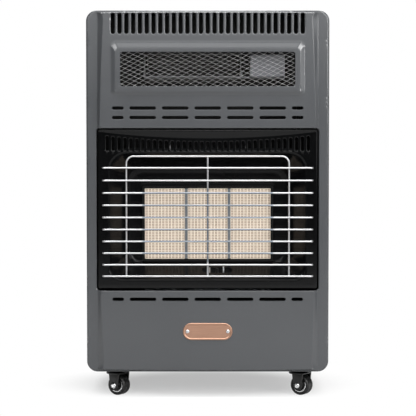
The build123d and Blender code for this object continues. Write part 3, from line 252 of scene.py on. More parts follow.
class Graph:
    """A node tree under construction."""

    def __init__(self, tree):
        self.tree = tree

    def node(self, kind, sockets=(), output=0, **settings):
        """Adds a node: its settings first, then the values or links of its sockets."""
        node = self.tree.nodes.new(kind)
        for key, value in settings.items():
            setattr(node, key, value)
        for key, value in sockets.items() if isinstance(sockets, dict) else enumerate(sockets):
            if isinstance(value, Wire):
                self.tree.links.new(value.socket, node.inputs[key])
            else:
                node.inputs[key].default_value = value
        return Wire(self, node.outputs[output]) if node.outputs else node

    def blend(self, factor, first, second):
        """A colour between two colours."""
        return self.node("ShaderNodeMix", {0: factor, 6: first, 7: second}, 2, data_type="RGBA")

    def places(self, stretch=(1, 1, 1), shift=(0, 0, 0)):
        """Object coordinates, stretched and shifted."""
        where = self.node("ShaderNodeTexCoord", output=3)
        return self.node("ShaderNodeMapping", {"Vector": where, "Location": shift, "Scale": stretch})

    def along(self, axis):
        """One of the object coordinates: 0 for x, 1 for y, 2 for z."""
        return self.node("ShaderNodeSeparateXYZ", [self.places()], axis)

    def noise(self, scale, detail=2.0, rough=0.5, stretch=(1, 1, 1), lean=0.0):
        sockets = {"Vector": self.places(stretch), "Scale": scale, "Detail": detail}
        return self.node("ShaderNodeTexNoise", {**sockets, "Roughness": rough, "Distortion": lean})

    def cells(self, scale, output="Distance"):
        return self.node("ShaderNodeTexVoronoi", {"Vector": self.places(), "Scale": scale}, output)

    def bump(self, height, strength, reach):
        return self.node("ShaderNodeBump", {"Height": height, "Strength": strength, "Distance": reach})


def cleared(holder):
    """The emptied graph of a material or a world."""
    holder.use_nodes = True
    holder.node_tree.nodes.clear()
    return Graph(holder.node_tree)


# ---------------------------------------------------------------- mesh helpers


def linked(name, data):
    """A scene object that holds the data."""
    item = bpy.data.objects.new(name, data)
    bpy.context.scene.collection.objects.link(item)
    return item


def smoothed(mesh, sharp):
    """Shades a mesh smooth, except over edges sharper than so many degrees."""
    mesh.shade_smooth()
    mesh.set_sharp_from_angle(angle=radians(sharp))


def new_piece(name, points, faces, sharp=40.0):
    """An object at the origin, from points in millimetres."""
    mesh = bpy.data.meshes.new(name)
    mesh.from_pydata([tuple(point) for point in np.asarray(points) * 0.001], [], list(map(tuple, faces)))
    mesh.validate()
    smoothed(mesh, sharp)
    return linked(name, mesh)


def settle(piece, slot, body="root", stands_for=(), look=None):
    """Gives a piece its finish, puts it on its body and hides the CAD nodes that it stands for."""
    piece.data.materials.clear()
    piece.data.materials.append(FINISHES[look or slot])
    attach(piece, body)
    if stands_for:
        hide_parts(*stands_for)


def drop(piece):
    """Removes a piece that was only a step in making another."""
    mesh = piece.data
    bpy.data.objects.remove(piece)
    bpy.data.meshes.remove(mesh)


def evaluated(piece):
    """A plain mesh of a piece with its modifiers worked in."""
    graph = bpy.context.evaluated_depsgraph_get()
    return bpy.data.meshes.new_from_object(piece.evaluated_get(graph))


def joined(shells):
    """Several (points, faces) lists as one."""
    points, faces, start = [], [], 0
    for some_points, some_faces in shells:
        points.append(np.asarray(some_points, float))
        faces += [tuple(index + start for index in face) for face in some_faces]
        start += len(some_points)
    return np.vstack(points), faces


def ring_stack(rings, closed=False, caps=True):
    """Faces between rings of equal count; closed joins the last ring to the first one."""
    count = len(rings[0])
    points = np.vstack(rings)
    faces = []
    for level in range(len(rings) if closed else len(rings) - 1):
        low, high = level * count, (level + 1) % len(rings) * count
        for i in range(count):
            j = (i + 1) % count
            faces.append((low + i, low + j, high + j, high + i))
    if caps and not closed:
        faces.append(tuple(reversed(range(count))))
        faces.append(tuple(range(len(points) - count, len(points))))
    return points, faces


def normals_of(points, faces):
    """Point normals weighted by the angle of each face's corner."""
    normals = np.zeros_like(points)
    for size in sorted({len(face) for face in faces}):
        group = np.array([face for face in faces if len(face) == size])
        place = points[group]
        first, last = (1, 0) if size == 3 else (2, 1)
        flat = np.cross(place[:, first] - place[:, 0], place[:, first + 1] - place[:, last])
        flat /= np.maximum(np.linalg.norm(flat, axis=1, keepdims=True), TINY)
        for k in range(size):
            ahead = place[:, (k + 1) % size] - place[:, k]
            behind = place[:, k - 1] - place[:, k]
            lengths = np.linalg.norm(ahead, axis=1) * np.linalg.norm(behind, axis=1)
            angle = np.arccos(np.clip((ahead * behind).sum(1) / np.maximum(lengths, TINY), -1, 1))
            np.add.at(normals, group[:, k], flat * angle[:, None])
    return normals / np.maximum(np.linalg.norm(normals, axis=1, keepdims=True), TINY)


def open_edges(faces):
    """Directed edges that only one face uses."""
    used = dict.fromkeys((a, face[(k + 1) % len(face)]) for face in faces for k, a in enumerate(face))
    return [(a, b) for a, b in used if (b, a) not in used]


def thickened(points, faces, thickness):
    """A skin, its inner skin and the edges between the two."""
    count = len(points)
    inner = points - normals_of(points, faces) * thickness
    skins = list(faces) + [tuple(index + count for index in reversed(face)) for face in faces]
    skins += [(b, a, a + count, b + count) for a, b in open_edges(faces)]
    return np.vstack([points, inner]), skins


def facing_out(piece):
    """Turns all faces of a closed shell outwards."""
    work = bmesh.new()
    work.from_mesh(piece.data)
    bmesh.ops.remove_doubles(work, verts=work.verts, dist=1e-6)
    bmesh.ops.recalc_face_normals(work, faces=work.faces)
    work.to_mesh(piece.data)
    work.free()
    return piece


def spokes(count, side, other):
    """Points all round a circle in the plane of two arms."""
    angles = np.arange(count) / count * tau
    return np.outer(np.cos(angles), side) + np.outer(np.sin(angles), other)


def rounded_ring(half, low, high, top_radius, bottom_radius, corner=7, side=1, level=1):
    """A rounded rectangle in x and z, counter-clockwise from its lower right corner's start."""
    top_radius, bottom_radius = (
        max(min(radius, half, (high - low) / 2), SPECK) for radius in (top_radius, bottom_radius)
    )
    stops = [
        (half - bottom_radius, low + bottom_radius, bottom_radius, -90),
        (half - top_radius, high - top_radius, top_radius, 0),
        (-half + top_radius, high - top_radius, top_radius, 90),
        (-half + bottom_radius, low + bottom_radius, bottom_radius, 180),
    ]
    arcs = []
    for x, z, radius, start in stops:
        angles = np.radians(start + 90 * np.arange(corner + 1) / corner)
        arcs.append(np.column_stack([x + radius * np.cos(angles), z + radius * np.sin(angles)]))
    ring = []
    for k, arc in enumerate(arcs):
        pieces = side if k % 2 == 0 else level
        share = np.arange(1, pieces)[:, None] / pieces
        ring += [arc, arc[-1] + (arcs[(k + 1) % 4][0] - arc[-1]) * share]
    return np.vstack(ring)


def lifted(ring, place, axis=1):
    """A ring of two coordinates put at a place along the third axis."""
    return np.insert(ring, axis, place, axis=1)


def turned(profile, segments, centre, axis, closed=False):
    """A lathe shell: profile rows are (radius, distance along the axis)."""
    axis = Vector(axis).normalized()
    side = axis.orthogonal().normalized()
    circle = spokes(segments, side, axis.cross(side))
    rings = [
        np.array(centre) + circle * max(radius, SPECK) + np.array(axis) * along for radius, along in profile
    ]
    return ring_stack(rings, closed=closed)


def tube(path, radius, sides=14):
    """A round wire along a path of points, closed at both ends."""
    path = np.asarray(path, float)
    ahead = np.gradient(path, axis=0)
    ahead /= np.linalg.norm(ahead, axis=1, keepdims=True)
    side = np.array(Vector(ahead[0]).orthogonal().normalized())
    rings = []
    for place, direction in zip(path, ahead):
        side = side - direction * np.dot(side, direction)
        side /= np.linalg.norm(side)
        rings.append(place + radius * spokes(sides, side, np.cross(direction, side)))
    return ring_stack(rings)


def bent_path(points, radius, steps):
    """Straight runs joined by arcs of the given radius."""
    points = [Vector(point) for point in points]
    path = [points[0]]
    for before, corner, after in zip(points, points[1:], points[2:]):
        back = (before - corner).normalized()
        ahead = (after - corner).normalized()
        half = back.angle(ahead) / 2
        reach = radius / np.tan(half)
        centre = corner + (back + ahead).normalized() * (radius / sin(half))
        start = corner + back * reach - centre
        end = corner + ahead * reach - centre
        path += [centre + start.slerp(end, k / steps) * radius for k in range(steps + 1)]
    return [tuple(place) for place in [*path, points[-1]]]


def softened(node, slot, width, segments=2, look=None):
    """A copy of a CAD node with its edges broken by a small bevel."""
    source = frame["nodes"][node].data
    mesh = bpy.data.meshes.new(node + "_soft")
    points = [point.co[:] for point in source.vertices]
    mesh.from_pydata(points, [], [face.vertices[:] for face in source.polygons])
    work = bmesh.new()
    work.from_mesh(mesh)
    bmesh.ops.remove_doubles(work, verts=work.verts, dist=2e-6)
    bmesh.ops.dissolve_limit(work, angle_limit=radians(0.6), verts=work.verts, edges=work.edges)
    work.to_mesh(mesh)
    work.free()
    smoothed(mesh, SOFTENED_ANGLE)
    piece = linked(node + "_soft", mesh)
    bevel = piece.modifiers.new("Broken edges", "BEVEL")
    bevel.width = width / 1000
    bevel.segments = segments
    bevel.limit_method = "ANGLE"
    bevel.angle_limit = radians(SOFTENED_ANGLE)
    bevel.harden_normals = True
    settle(piece, slot, body_of(node), (node,), look)


# ---------------------------------------------------------------- pressings


def smooth_least(a, b, reach):
    """The smaller of two heights, with the crease between them rounded."""
    return np.minimum(a, b) - np.maximum(reach - np.abs(a - b), 0) ** 2 / (4 * reach)


def smooth_most(a, b, reach):
    """The larger of two heights, with the crease between them rounded."""
    return -smooth_least(-a, -b, reach)


class Opening:
    """A rounded opening in a pressing, with the radius that its edge is rolled to."""

    def __init__(self, x, low, high, half, radius, roll=1.0, rings=(0.3, 0.9, 1.8)):
        self.x, self.low, self.high, self.half, self.radius = x, low, high, half, radius
        self.roll, self.rings = roll, rings

    def distance(self, x, z):
        """Distance outside the opening's edge; negative inside."""
        across = np.abs(x - self.x) - self.half + self.radius
        along = np.abs(z - (self.low + self.high) / 2) - (self.high - self.low) / 2 + self.radius
        outside = np.hypot(np.maximum(across, 0), np.maximum(along, 0))
        return outside + np.minimum(np.maximum(across, along), 0) - self.radius

    def ring(self, grow, step=2.5):
        """The opening's edge, grown by so much, with points about a step apart."""
        radius = self.radius + grow
        corner = max(3, int(radius * pi / 2 / min(step, 1 + radius / 3)))
        tall = self.high - self.low + 2 * grow
        side = max(1, int((tall - 2 * radius) / (2 * step)))
        level = max(1, int((2 * self.half + 2 * grow - 2 * radius) / (2 * step)))
        low, high = self.low - grow, self.high + grow
        return rounded_ring(self.half + grow, low, high, radius, radius, corner, side, level) + [self.x, 0]


class Pressing:
    """A sheet seen from the front: points in x and z joined into triangles, then given depth."""

    cell = 4  # near points are looked up in squares of this side

    def __init__(self, outline, openings):
        self.outline, self.openings = outline, openings
        self.points, self.edges, self.cells = [], [], {}

    def inside(self, x, z):
        kept = self.outline.distance(x, z) < -1e-6
        for opening in self.openings:
            kept &= opening.distance(x, z) > 1e-6
        return kept

    def free(self, x, z, reach):
        """True where no point is nearer than reach."""
        cell_x, cell_z = int(x // self.cell), int(z // self.cell)
        near = range(-int(reach // self.cell) - 1, int(reach // self.cell) + 2)
        return not any(
            (x - other_x) ** 2 + (z - other_z) ** 2 < reach * reach
            for i in near
            for j in near
            for other_x, other_z in self.cells.get((cell_x + i, cell_z + j), ())
        )

    def put(self, x, z):
        self.points.append((x, z))
        self.cells.setdefault((int(x // self.cell), int(z // self.cell)), []).append((x, z))

    def edge_ring(self, ring):
        """A closed line that the triangles keep as an edge."""
        start = len(self.points)
        for x, z in ring:
            self.put(x, z)
        self.edges += [(start + i, start + (i + 1) % len(ring)) for i in range(len(ring))]

    def scatter(self, points, reach):
        """Loose points, each left out where another one is nearer than reach."""
        points = np.asarray(points, float)
        for x, z in points[self.inside(points[:, 0], points[:, 1])]:
            if self.free(x, z, reach):
                self.put(x, z)

    def fill(self, half, low, high, step):
        """A loose grid of points over the whole sheet."""
        across = np.linspace(-half, half, int(2 * half / step) + 1)
        along = np.linspace(low, high, int((high - low) / step) + 1)
        self.scatter([(x, z) for x in across for z in along], step * 0.45)

    def surface(self, depth):
        """Points and outward triangles of the front skin."""
        flat = [Vector(point) for point in self.points]
        places, _, faces, _, _, _ = delaunay_2d_cdt(flat, self.edges, [], 0, 1e-4)
        places = np.array([tuple(place) for place in places])
        faces = np.array([tuple(face) for face in faces])
        middle = places[faces].mean(axis=1)
        faces = faces[self.inside(middle[:, 0], middle[:, 1])]
        first, second, third = places[faces].swapaxes(0, 1)
        area = np.cross(second - first, third - first)
        faces, area = faces[np.abs(area) > 1e-7], area[np.abs(area) > 1e-7]
        faces[area < 0] = faces[area < 0][:, ::-1]
        used, renamed = np.unique(faces, return_inverse=True)
        places = places[used]
        return lifted(places, depth(places[:, 0], places[:, 1])), renamed.reshape(-1, 3).tolist()

    def shell(self, name, depth, back, thickness):
        """The whole sheet: its front skin, the wall from its outline back, and its inner skin."""
        points, faces = self.surface(depth)
        rim = np.abs(self.outline.distance(points[:, 0], points[:, 2])) < 0.05
        edges = [(a, b) for a, b in open_edges(faces) if rim[a] and rim[b]]
        order = sorted({end for edge in edges for end in edge})
        behind = {a: len(points) + k for k, a in enumerate(order)}
        wall = points[order].copy()
        wall[:, 1] = back
        faces = list(map(tuple, faces)) + [(b, a, behind[a], behind[b]) for a, b in edges]
        return new_piece(name, *thickened(np.vstack([points, wall]), faces, thickness))


def edge_roll(gap, radius):
    """How far a sheet curls away within radius of an edge."""
    share = np.clip(gap, 0, radius)
    return np.where(gap < radius, radius - np.sqrt(np.maximum(radius**2 - (radius - share) ** 2, 0)), 0)


def curled(openings, x, z):
    """How far the sheet curls away round all openings."""
    return sum(edge_roll(opening.distance(x, z), opening.roll) for opening in openings)


def level_slots(z):
    """A row of five long slots and a short one at each end."""
    row = [(x, LONG_SLOT) for x in (-120, -60, 0, 60, 120)] + [(x, SHORT_SLOT) for x in (-166, 166)]
    return [Opening(x, z - LEVEL_SLOT, z + LEVEL_SLOT, half, LEVEL_SLOT, roll=0.6) for x, half in row]


def front_openings(size):
    """All openings of the front: upright and level slots, the window and the burner surround's hole."""
    high = TOP - 4.4  # upper ends of the upright slots
    half = size.slot_width / 2
    rings = (0.1, 0.3, 0.6, 0.95, 1.4, 1.85, 2.2, 2.8)
    openings = []
    for i in range(size.slot_count):
        x = -(size.slot_count - 1) / 2 * size.slot_pitch + i * size.slot_pitch
        openings.append(Opening(x, high - size.slot_length, high, half, half, size.slot_roll, rings))
    surround_low = TOP - size.surround_drop - size.surround_tall
    for z in (surround_low - 23, surround_low - 40.5, BEZEL_LOW[2] - 16.5):  # above and below the burner
        openings += level_slots(z)
    low = surround_low + size.window_rise
    window = Opening(0, low, low + size.window_height, size.window_width / 2, 4.6, roll=0.7)
    half = (BEZEL_HIGH[0] - BEZEL_LOW[0]) / 2 + 0.5
    rings = (0.2, 0.6, 1.2, 2.0, 2.8)
    bezel = Opening(0, BEZEL_LOW[2] - 0.5, BEZEL_HIGH[2] + 0.5, half, 5.0, 2.0, rings)
    return [*openings, window, bezel]


def build_front(size):
    """The pressed front panel, with its barrel-sided face, raised frame, slots and rolled rim."""
    frame_height = 4  # the raised frame above the panel
    pillar_y = FRONT_Y + size.panel_height + frame_height
    half = FRONT_HIGH[0]
    foot = half - size.pillar
    openings = front_openings(size)
    frame_high = TOP - size.surround_drop
    frame_low = frame_high - size.surround_tall
    side_slope, upper_slope, lower_slope = 10, 15, 8  # widths of the raised frame's bevels
    end_slope = 2.6  # width of the panel's bevel along the cabinet's upper and lower edge
    outline = Opening(0, UNDERSIDE, TOP, half, size.corner)

    def slope_width(z):
        """Width of the panel's sloping side at a height."""
        rise = (z - UNDERSIDE) / (TOP - UNDERSIDE)
        width = size.end_slope + (size.middle_slope - size.end_slope) * (1 - (2 * rise - 1) ** 2)
        return width * (1 - 0.5 * np.clip(1 - np.minimum(TOP - z, z - UNDERSIDE) / 22, 0, 1) ** 2)

    def end_band(x):
        """Flat strip between the raised panel and the cabinet's upper or lower edge."""
        return 1.2 + 1.4 * (x / foot) ** 2

    def raised_frame(x, z):
        """The frame's share of its height: bevelled sides, cut upper corners, rounded lower ones."""
        side = (size.surround_width / 2 - np.abs(x)) / side_slope
        upper = (frame_high - z) / upper_slope
        lower = (z - frame_low) / lower_slope
        nearer = np.minimum(side, lower)
        round_foot = 1 - np.hypot(np.maximum(1 - side, 0), np.maximum(1 - lower, 0))
        share = smooth_least(np.where(nearer > 1, nearer, round_foot), upper, 0.05)
        return smooth_least(share, 0.398 * side + 0.602 * upper - 0.259, 0.05)

    def depth(x, z):
        """Depth of the front skin: rolled rim, sloping panel, raised frame and rolled slots."""
        radius = 0.9 + (size.rim_rounding - 0.9) * np.clip((np.abs(x) - 204) / 14, 0, 1)
        rim = -edge_roll(-outline.distance(x, z), radius)
        across = (foot - np.abs(x)) / slope_width(z)
        ends = (np.minimum(TOP - z, z - UNDERSIDE) - end_band(x)) / end_slope
        share = smooth_least(across, ends, 0.12)
        panel = -size.sheet + (size.panel_height + size.sheet) * smooth_least(share, 1.0, 0.09)
        height = smooth_most(rim, panel, 0.4)
        share = smooth_least(raised_frame(x, z), 1.0, 0.07)
        raised = size.panel_height - size.sheet + (frame_height + size.sheet) * share
        height = smooth_most(height, raised, 0.3)
        return pillar_y - height + curled(openings, x, z)

    press = Pressing(outline, openings)
    press.edge_ring(outline.ring(0, 4.0))
    for opening in openings:
        press.edge_ring(opening.ring(0))
    for opening in openings:
        for grow in opening.rings:
            press.scatter(opening.ring(grow), 0.28 if grow < 1 else 0.6)
    for grow in (0.04, 0.18, 0.45, 0.9, 1.4, 2.0, 2.7, 3.4, 4.1, 4.6, 5.6):
        press.scatter(outline.ring(-grow, 4.0), 0.03 if grow < 1 else 0.4)
    rows = np.linspace(UNDERSIDE + 1, TOP - 1, 134)
    for share in (-0.9, -0.2, -0.06, 0.04, 0.14, 0.3, 0.5, 0.7, 0.84, 0.92, 1.0, 1.08, 1.18, 1.5, 2.0):
        x = foot - share * slope_width(rows)
        press.scatter(np.column_stack([np.r_[x, -x], np.r_[rows, rows]]), 0.22)
    columns = np.linspace(-foot + 3, foot - 3, 150)
    for share in (0.0, 0.12, 0.35, 0.65, 0.85, 0.95, 1.05, 1.2, 1.6):
        inward = end_band(columns) + share * end_slope
        for z in (TOP - inward, UNDERSIDE + inward):
            press.scatter(np.column_stack([columns, z]), 0.22)
    cut, along_cut = 6.5, np.linspace(0, 1, 9)  # the frame's cut upper corners
    arc = np.radians(np.linspace(0, 90, 9))
    for share in (-0.4, -0.08, -0.02, 0.05, 0.12, 0.3, 0.5, 0.7, 0.88, 0.94, 1.0, 1.06, 1.14, 1.5):
        side = size.surround_width / 2 - side_slope * share
        low, high = frame_low + lower_slope * share, frame_high - upper_slope * share
        bend = side_slope * max(1 - share, 0.05)
        level = np.linspace(0, side - cut, 60)
        lines = [
            (side - cut * along_cut, high - cut * (1 - along_cut)),
            (side - bend + bend * np.sin(arc), low + 0.8 * bend * (1 - np.cos(arc))),
            (np.full(26, side), np.linspace(low + 9, high - cut, 26)),
            (level, np.full(60, high)),
            (level, np.full(60, low)),
        ]
        for line in map(np.column_stack, lines):
            press.scatter(line, 0.3)
            press.scatter(line * [-1, 1], 0.3)
    press.fill(half - 3, UNDERSIDE + 3, TOP - 3, 7.5)
    return press.shell("front_pressing", depth, RIM_Y, size.sheet)


def build_surround(size):
    """The enamelled burner surround with its visor, its curved row of slots and its rolled mouth."""
    low, high = BEZEL_LOW[2], BEZEL_HIGH[2]
    half = BEZEL_HIGH[0]
    gap = size.surround_gap
    outline = Opening(0, low + gap, high - gap, half - gap, 5.0)
    mouth_low = low + size.recess_rise
    mouth_high = mouth_low + size.recess_tall
    mouth_half = size.recess_width / 2

    def mouth(grow):
        """The edge of the recess's mouth, grown by so much."""
        half, z_low, z_high = mouth_half + grow, mouth_low - grow, mouth_high + grow
        return rounded_ring(half, z_low, z_high, MOUTH_TOP + grow, MOUTH_FOOT + grow, 14, 34, 60)

    def mouth_gap(x, z):
        upper = Opening(0, mouth_low - 60, mouth_high, mouth_half, MOUTH_TOP).distance(x, z)
        lower = Opening(0, mouth_low, mouth_high + 60, mouth_half, MOUTH_FOOT).distance(x, z)
        return np.where(z > (mouth_low + mouth_high) / 2, upper, lower)

    slots = []
    rings = (0.15, 0.4, 0.8, 1.3, 1.9, 2.3)
    for i in range(size.slot_count):
        place = i - (size.slot_count - 1) / 2
        top = high - 25 + 10.5 * (2 * place / (size.slot_count - 1)) ** 2
        x = place * size.slot_pitch
        slots.append(Opening(x, mouth_high + 4.5, top, size.slot_width / 2, 1.2, 2.2, rings))

    def visor_foot(x):
        """Height at which the visor begins to stand forward."""
        return high - 17 + 11.5 * (x / (half - 5)) ** 2

    def depth(x, z):
        """Depth of the front skin: rolled edges, visor, slots and the dimples between their feet."""
        height = -edge_roll(-outline.distance(x, z), 3.2) - edge_roll(mouth_gap(x, z), 2.2)
        share = (z - visor_foot(x)) / np.maximum(high - 3 - visor_foot(x), 1.0)
        height += size.visor_height * smooth_most(smooth_least(share, 1.0, 0.3), 0.0, 0.16)
        height -= curled(slots, x, z)
        column = np.abs((x / size.slot_pitch + 0.5) % 1 - 0.5) * size.slot_pitch
        lip = np.clip(1 - (column / 2.3) ** 2, 0, 1) * np.exp(-(((z - mouth_high - 3.6) / 0.8) ** 2))
        return FACE_Y - height - 0.9 * lip * (np.abs(x) < size.slot_pitch * size.slot_count / 2)

    edges = [SimpleNamespace(distance=mouth_gap), *slots]  # the mouth is one more opening
    press = Pressing(outline, edges)
    press.edge_ring(outline.ring(0, 4.0))
    press.edge_ring(mouth(0))
    for slot in slots:
        press.edge_ring(slot.ring(0))
    for slot in slots:
        for grow in slot.rings:
            press.scatter(slot.ring(grow), 0.22)
        across = np.linspace(-2.3, 2.3, 7)
        for rise in (3.9, 3.4, 2.9, 2.4):
            press.scatter(np.column_stack([slot.x + across, np.full(7, mouth_high + rise)]), 0.3)
    for grow in (0.1, 0.35, 0.8, 1.4, 2.0, 2.4, 3.2):
        press.scatter(outline.ring(-grow, 4.0), 0.1)
    for grow in (0.15, 0.5, 1.0, 1.6, 2.2, 3.4):
        press.scatter(mouth(grow), 0.15)
    columns = np.linspace(-half + 2, half - 2, 130)
    foot = visor_foot(columns)
    for share in (-0.5, -0.2, -0.05, 0.1, 0.25, 0.5, 0.75, 0.9, 1.0, 1.12):
        press.scatter(np.column_stack([columns, foot + share * (high - 3 - foot)]), 0.35)
    press.fill(half - 2, low + 2, high - 2, 8.0)
    return press.shell("surround_pressing", depth, BEZEL_HIGH[1], SURROUND_SHEET)


def unit_rows(rows):
    """Rows scaled to a length of one."""
    return rows / np.linalg.norm(rows, axis=1, keepdims=True)


def build_recess(size):
    """The deep-drawn recess with a curved foot, open behind the burner and for the pilot."""
    mouth_y = FACE_Y + SURROUND_SHEET
    back_y = PAN_HIGH[1] - 1.0
    low = BEZEL_LOW[2] + size.recess_rise
    high = low + size.recess_tall
    floor_low = low + size.floor_rise
    reach = size.plaque_height / 2 + 3.2
    hole_half = size.plaque_pitch + size.plaque_width / 2 + 3.2
    flange, mouth, back, hole = (
        lifted(rounded_ring(*sizes, 16, 18, 30), y)
        for y, *sizes in (
            (mouth_y, size.recess_width / 2 + 9, low - 9, high + 9, MOUTH_TOP + 9, MOUTH_FOOT + 9),
            (mouth_y, size.recess_width / 2, low, high, MOUTH_TOP, MOUTH_FOOT),
            (back_y, size.floor_width / 2, floor_low, floor_low + size.floor_tall, 26, 20),
            (back_y, hole_half, PLAQUE_Z - reach, PLAQUE_Z + reach, 2, 2),
        )
    )
    rings = [flange, mouth + (flange - mouth) * 0.12]
    near = mouth + unit_rows(back - mouth) * 1.2
    rings += [0.6 * mouth + 0.2 * rings[1] + 0.2 * near, near]
    start = back + unit_rows(mouth - back) * size.floor_curve
    rings += [near + (start - near) * share for share in (0.2, 0.4, 0.6, 0.8)]
    end = back + unit_rows(hole - back) * size.floor_curve * 0.9
    for share in np.linspace(0, 1, 8):
        rings.append((1 - share) ** 2 * start + 2 * share * (1 - share) * back + share**2 * end)
    rings += [end + (hole - end) * share for share in (0.5, 0.985, 1.0)]
    rings.append(rings[-1] + [0, 1.2, 0])
    points, faces = ring_stack(rings, caps=False)
    piece = new_piece("recess", *thickened(points, [tuple(reversed(face)) for face in faces], 1.0))
    middle_y = (mouth_y + back_y) / 2
    capsule = rounded_ring(28, middle_y - 8, middle_y + 8, 8, 8, 10) + [17.5, 0]
    walls = ring_stack([lifted(capsule, z, 2) for z in (low - 6, floor_low - 1)])
    cutter = facing_out(new_piece("pilot_window_cutter", *walls))
    cut = piece.modifiers.new("Pilot window", "BOOLEAN")
    cut.operation = "DIFFERENCE"
    cut.object = cutter
    mesh = evaluated(piece)
    piece.modifiers.clear()
    piece.data = mesh
    smoothed(mesh, 40)
    drop(cutter)
    return piece


# ---------------------------------------------------------------- repeats by geometry nodes


def group(name, **inputs):
    """A geometry node group with named inputs: its graph, and the inputs' wires by name."""
    tree = bpy.data.node_groups.new(name, "GeometryNodeTree")
    for title, kind in inputs.items():
        tree.interface.new_socket(title.replace("_", " "), in_out="INPUT", socket_type="NodeSocket" + kind)
    tree.interface.new_socket("Geometry", in_out="OUTPUT", socket_type="NodeSocketGeometry")
    given = tree.nodes.new("NodeGroupInput")
    graph = Graph(tree)
    return graph, {socket.name: Wire(graph, socket) for socket in given.outputs if socket.name}


def hand_out(graph, placed, finish_wire):
    """Ends a group: the instances are made real, painted and handed out."""
    real = graph.node("GeometryNodeRealizeInstances", [placed])
    painted = graph.node("GeometryNodeSetMaterial", {"Geometry": real, "Material": finish_wire})
    graph.node("NodeGroupOutput", [painted])
    return graph.tree


def repeat_tree():
    """A node group that puts a unit on every point of a mesh, with a fixed seed for its turns."""
    graph, given = group(
        "Repeat on points", Points="Geometry", Unit="Object", Turn="Float", Seed="Int", Finish="Material"
    )
    unit = graph.node("GeometryNodeObjectInfo", {"Object": given["Unit"]}, "Geometry")
    limits = {"Seed": given["Seed"], 2: given["Turn"] * -1, 3: given["Turn"]}
    turn = graph.node("FunctionNodeRandomValue", limits, 1, data_type="FLOAT")
    turning = graph.node("ShaderNodeCombineXYZ", {"Y": turn})
    sockets = {"Points": given["Points"], "Instance": unit, "Rotation": turning}
    placed = graph.node("GeometryNodeInstanceOnPoints", sockets)
    return hand_out(graph, placed, given["Finish"])


def run_tree(name, source, tree, inputs):
    """Runs a geometry tree on a source object and returns the result as a plain piece."""
    modifier = source.modifiers.new(name, "NODES")
    modifier.node_group = tree
    for item in tree.interface.items_tree:
        if item.in_out == "INPUT" and item.name in inputs:
            modifier[item.identifier] = inputs[item.name]
    mesh = evaluated(source)
    mesh.name = name
    drop(source)
    return linked(name, mesh)


def repeated(name, unit, places, finish_name, turn=0.0, sharp=40.0):
    """Copies of a unit at places in millimetres, as one plain piece."""
    inputs = {"Unit": unit, "Turn": turn, "Seed": 7, "Finish": FINISHES[finish_name]}
    tree = bpy.data.node_groups.get("Repeat on points") or repeat_tree()
    piece = run_tree(name, new_piece(name + "_places", places, []), tree, inputs)
    drop(unit)
    smoothed(piece.data, sharp)
    return piece


def wire_tree():
    """A node group for the guard's bars: a bent wire repeated downwards at shrinking gaps."""
    sizes = dict.fromkeys(("Wire_radius", "Bend", "Pitch", "Pitch_step"), "Float")
    graph, given = group("Guard bars", Path="Geometry", **sizes, Bars="Int", Finish="Material")
    path = graph.node("GeometryNodeMeshToCurve", {"Mesh": given["Path"]})
    sockets = {"Curve": path, "Count": 7, "Radius": given["Bend"]}
    path = graph.node("GeometryNodeFilletCurve", sockets, mode="POLY")
    circle = {"Resolution": 14, "Radius": given["Wire radius"]}
    section = graph.node("GeometryNodeCurvePrimitiveCircle", circle)
    sockets = {"Curve": path, "Profile Curve": section, "Fill Caps": True}
    bar = graph.node("GeometryNodeCurveToMesh", sockets)
    row = graph.node("GeometryNodeMeshLine", {"Count": given["Bars"]})
    index = graph.node("GeometryNodeInputIndex")
    fall = given["Pitch"] * index - given["Pitch step"] * index * (index - 1) * 0.5
    place = graph.node("ShaderNodeCombineXYZ", {"Z": fall * -1})
    row = graph.node("GeometryNodeSetPosition", {"Geometry": row, "Position": place})
    placed = graph.node("GeometryNodeInstanceOnPoints", {"Points": row, "Instance": bar})
    return hand_out(graph, placed, given["Finish"])


def strand(end, width, depth, twist):
    """One flat twisted strand of stretched sheet, from the origin to a bond at end."""
    end = np.array(end, float)
    along = end / np.linalg.norm(end)
    across = np.array([-along[1], along[0]])
    section = ((-1, -0.6), (-0.7, -1), (0.7, -1), (1, -0.6), (1, 0.6), (0.7, 1), (-0.7, 1), (-1, 0.6))
    rings = []
    for share, swell in ((-0.04, 1.5), (0.14, 1.05), (0.5, 0.85), (0.86, 1.05), (1.04, 1.5)):
        ring = []
        for u, v in section:
            flat_u, flat_v = u * width / 2 * swell, v * depth / 2
            x, z = end * share + across * (flat_u * cos(twist) - flat_v * sin(twist))
            ring.append((x, flat_u * sin(twist) + flat_v * cos(twist), z))
        rings.append(np.array(ring))
    return ring_stack(rings)


def build_mesh(wires):
    """The stretched sheet behind the window: skewed diamonds cut from twisted strands."""
    y = (MESH_LOW[1] + MESH_HIGH[1]) / 2 + 0.5
    middle = (MESH_LOW[2] + MESH_HIGH[2]) / 2
    rising = np.array([7.775, 4.603])
    falling = np.array([8.185, -3.478])
    strands = [
        strand(falling, wires.strand, 0.45, radians(24)),
        strand(rising, wires.strand * 0.85, 0.4, radians(-32)),
    ]
    unit = facing_out(new_piece("mesh_cell", *joined(strands)))
    cells = (rising * i + falling * j for i in range(-34, 35) for j in range(-34, 35))
    places = [(x, y, middle + z) for x, z in cells if -174 < x < 158 and abs(z) < 34.5]
    return repeated("stretched_strands", unit, places, "stretched_mesh", sharp=50.0)


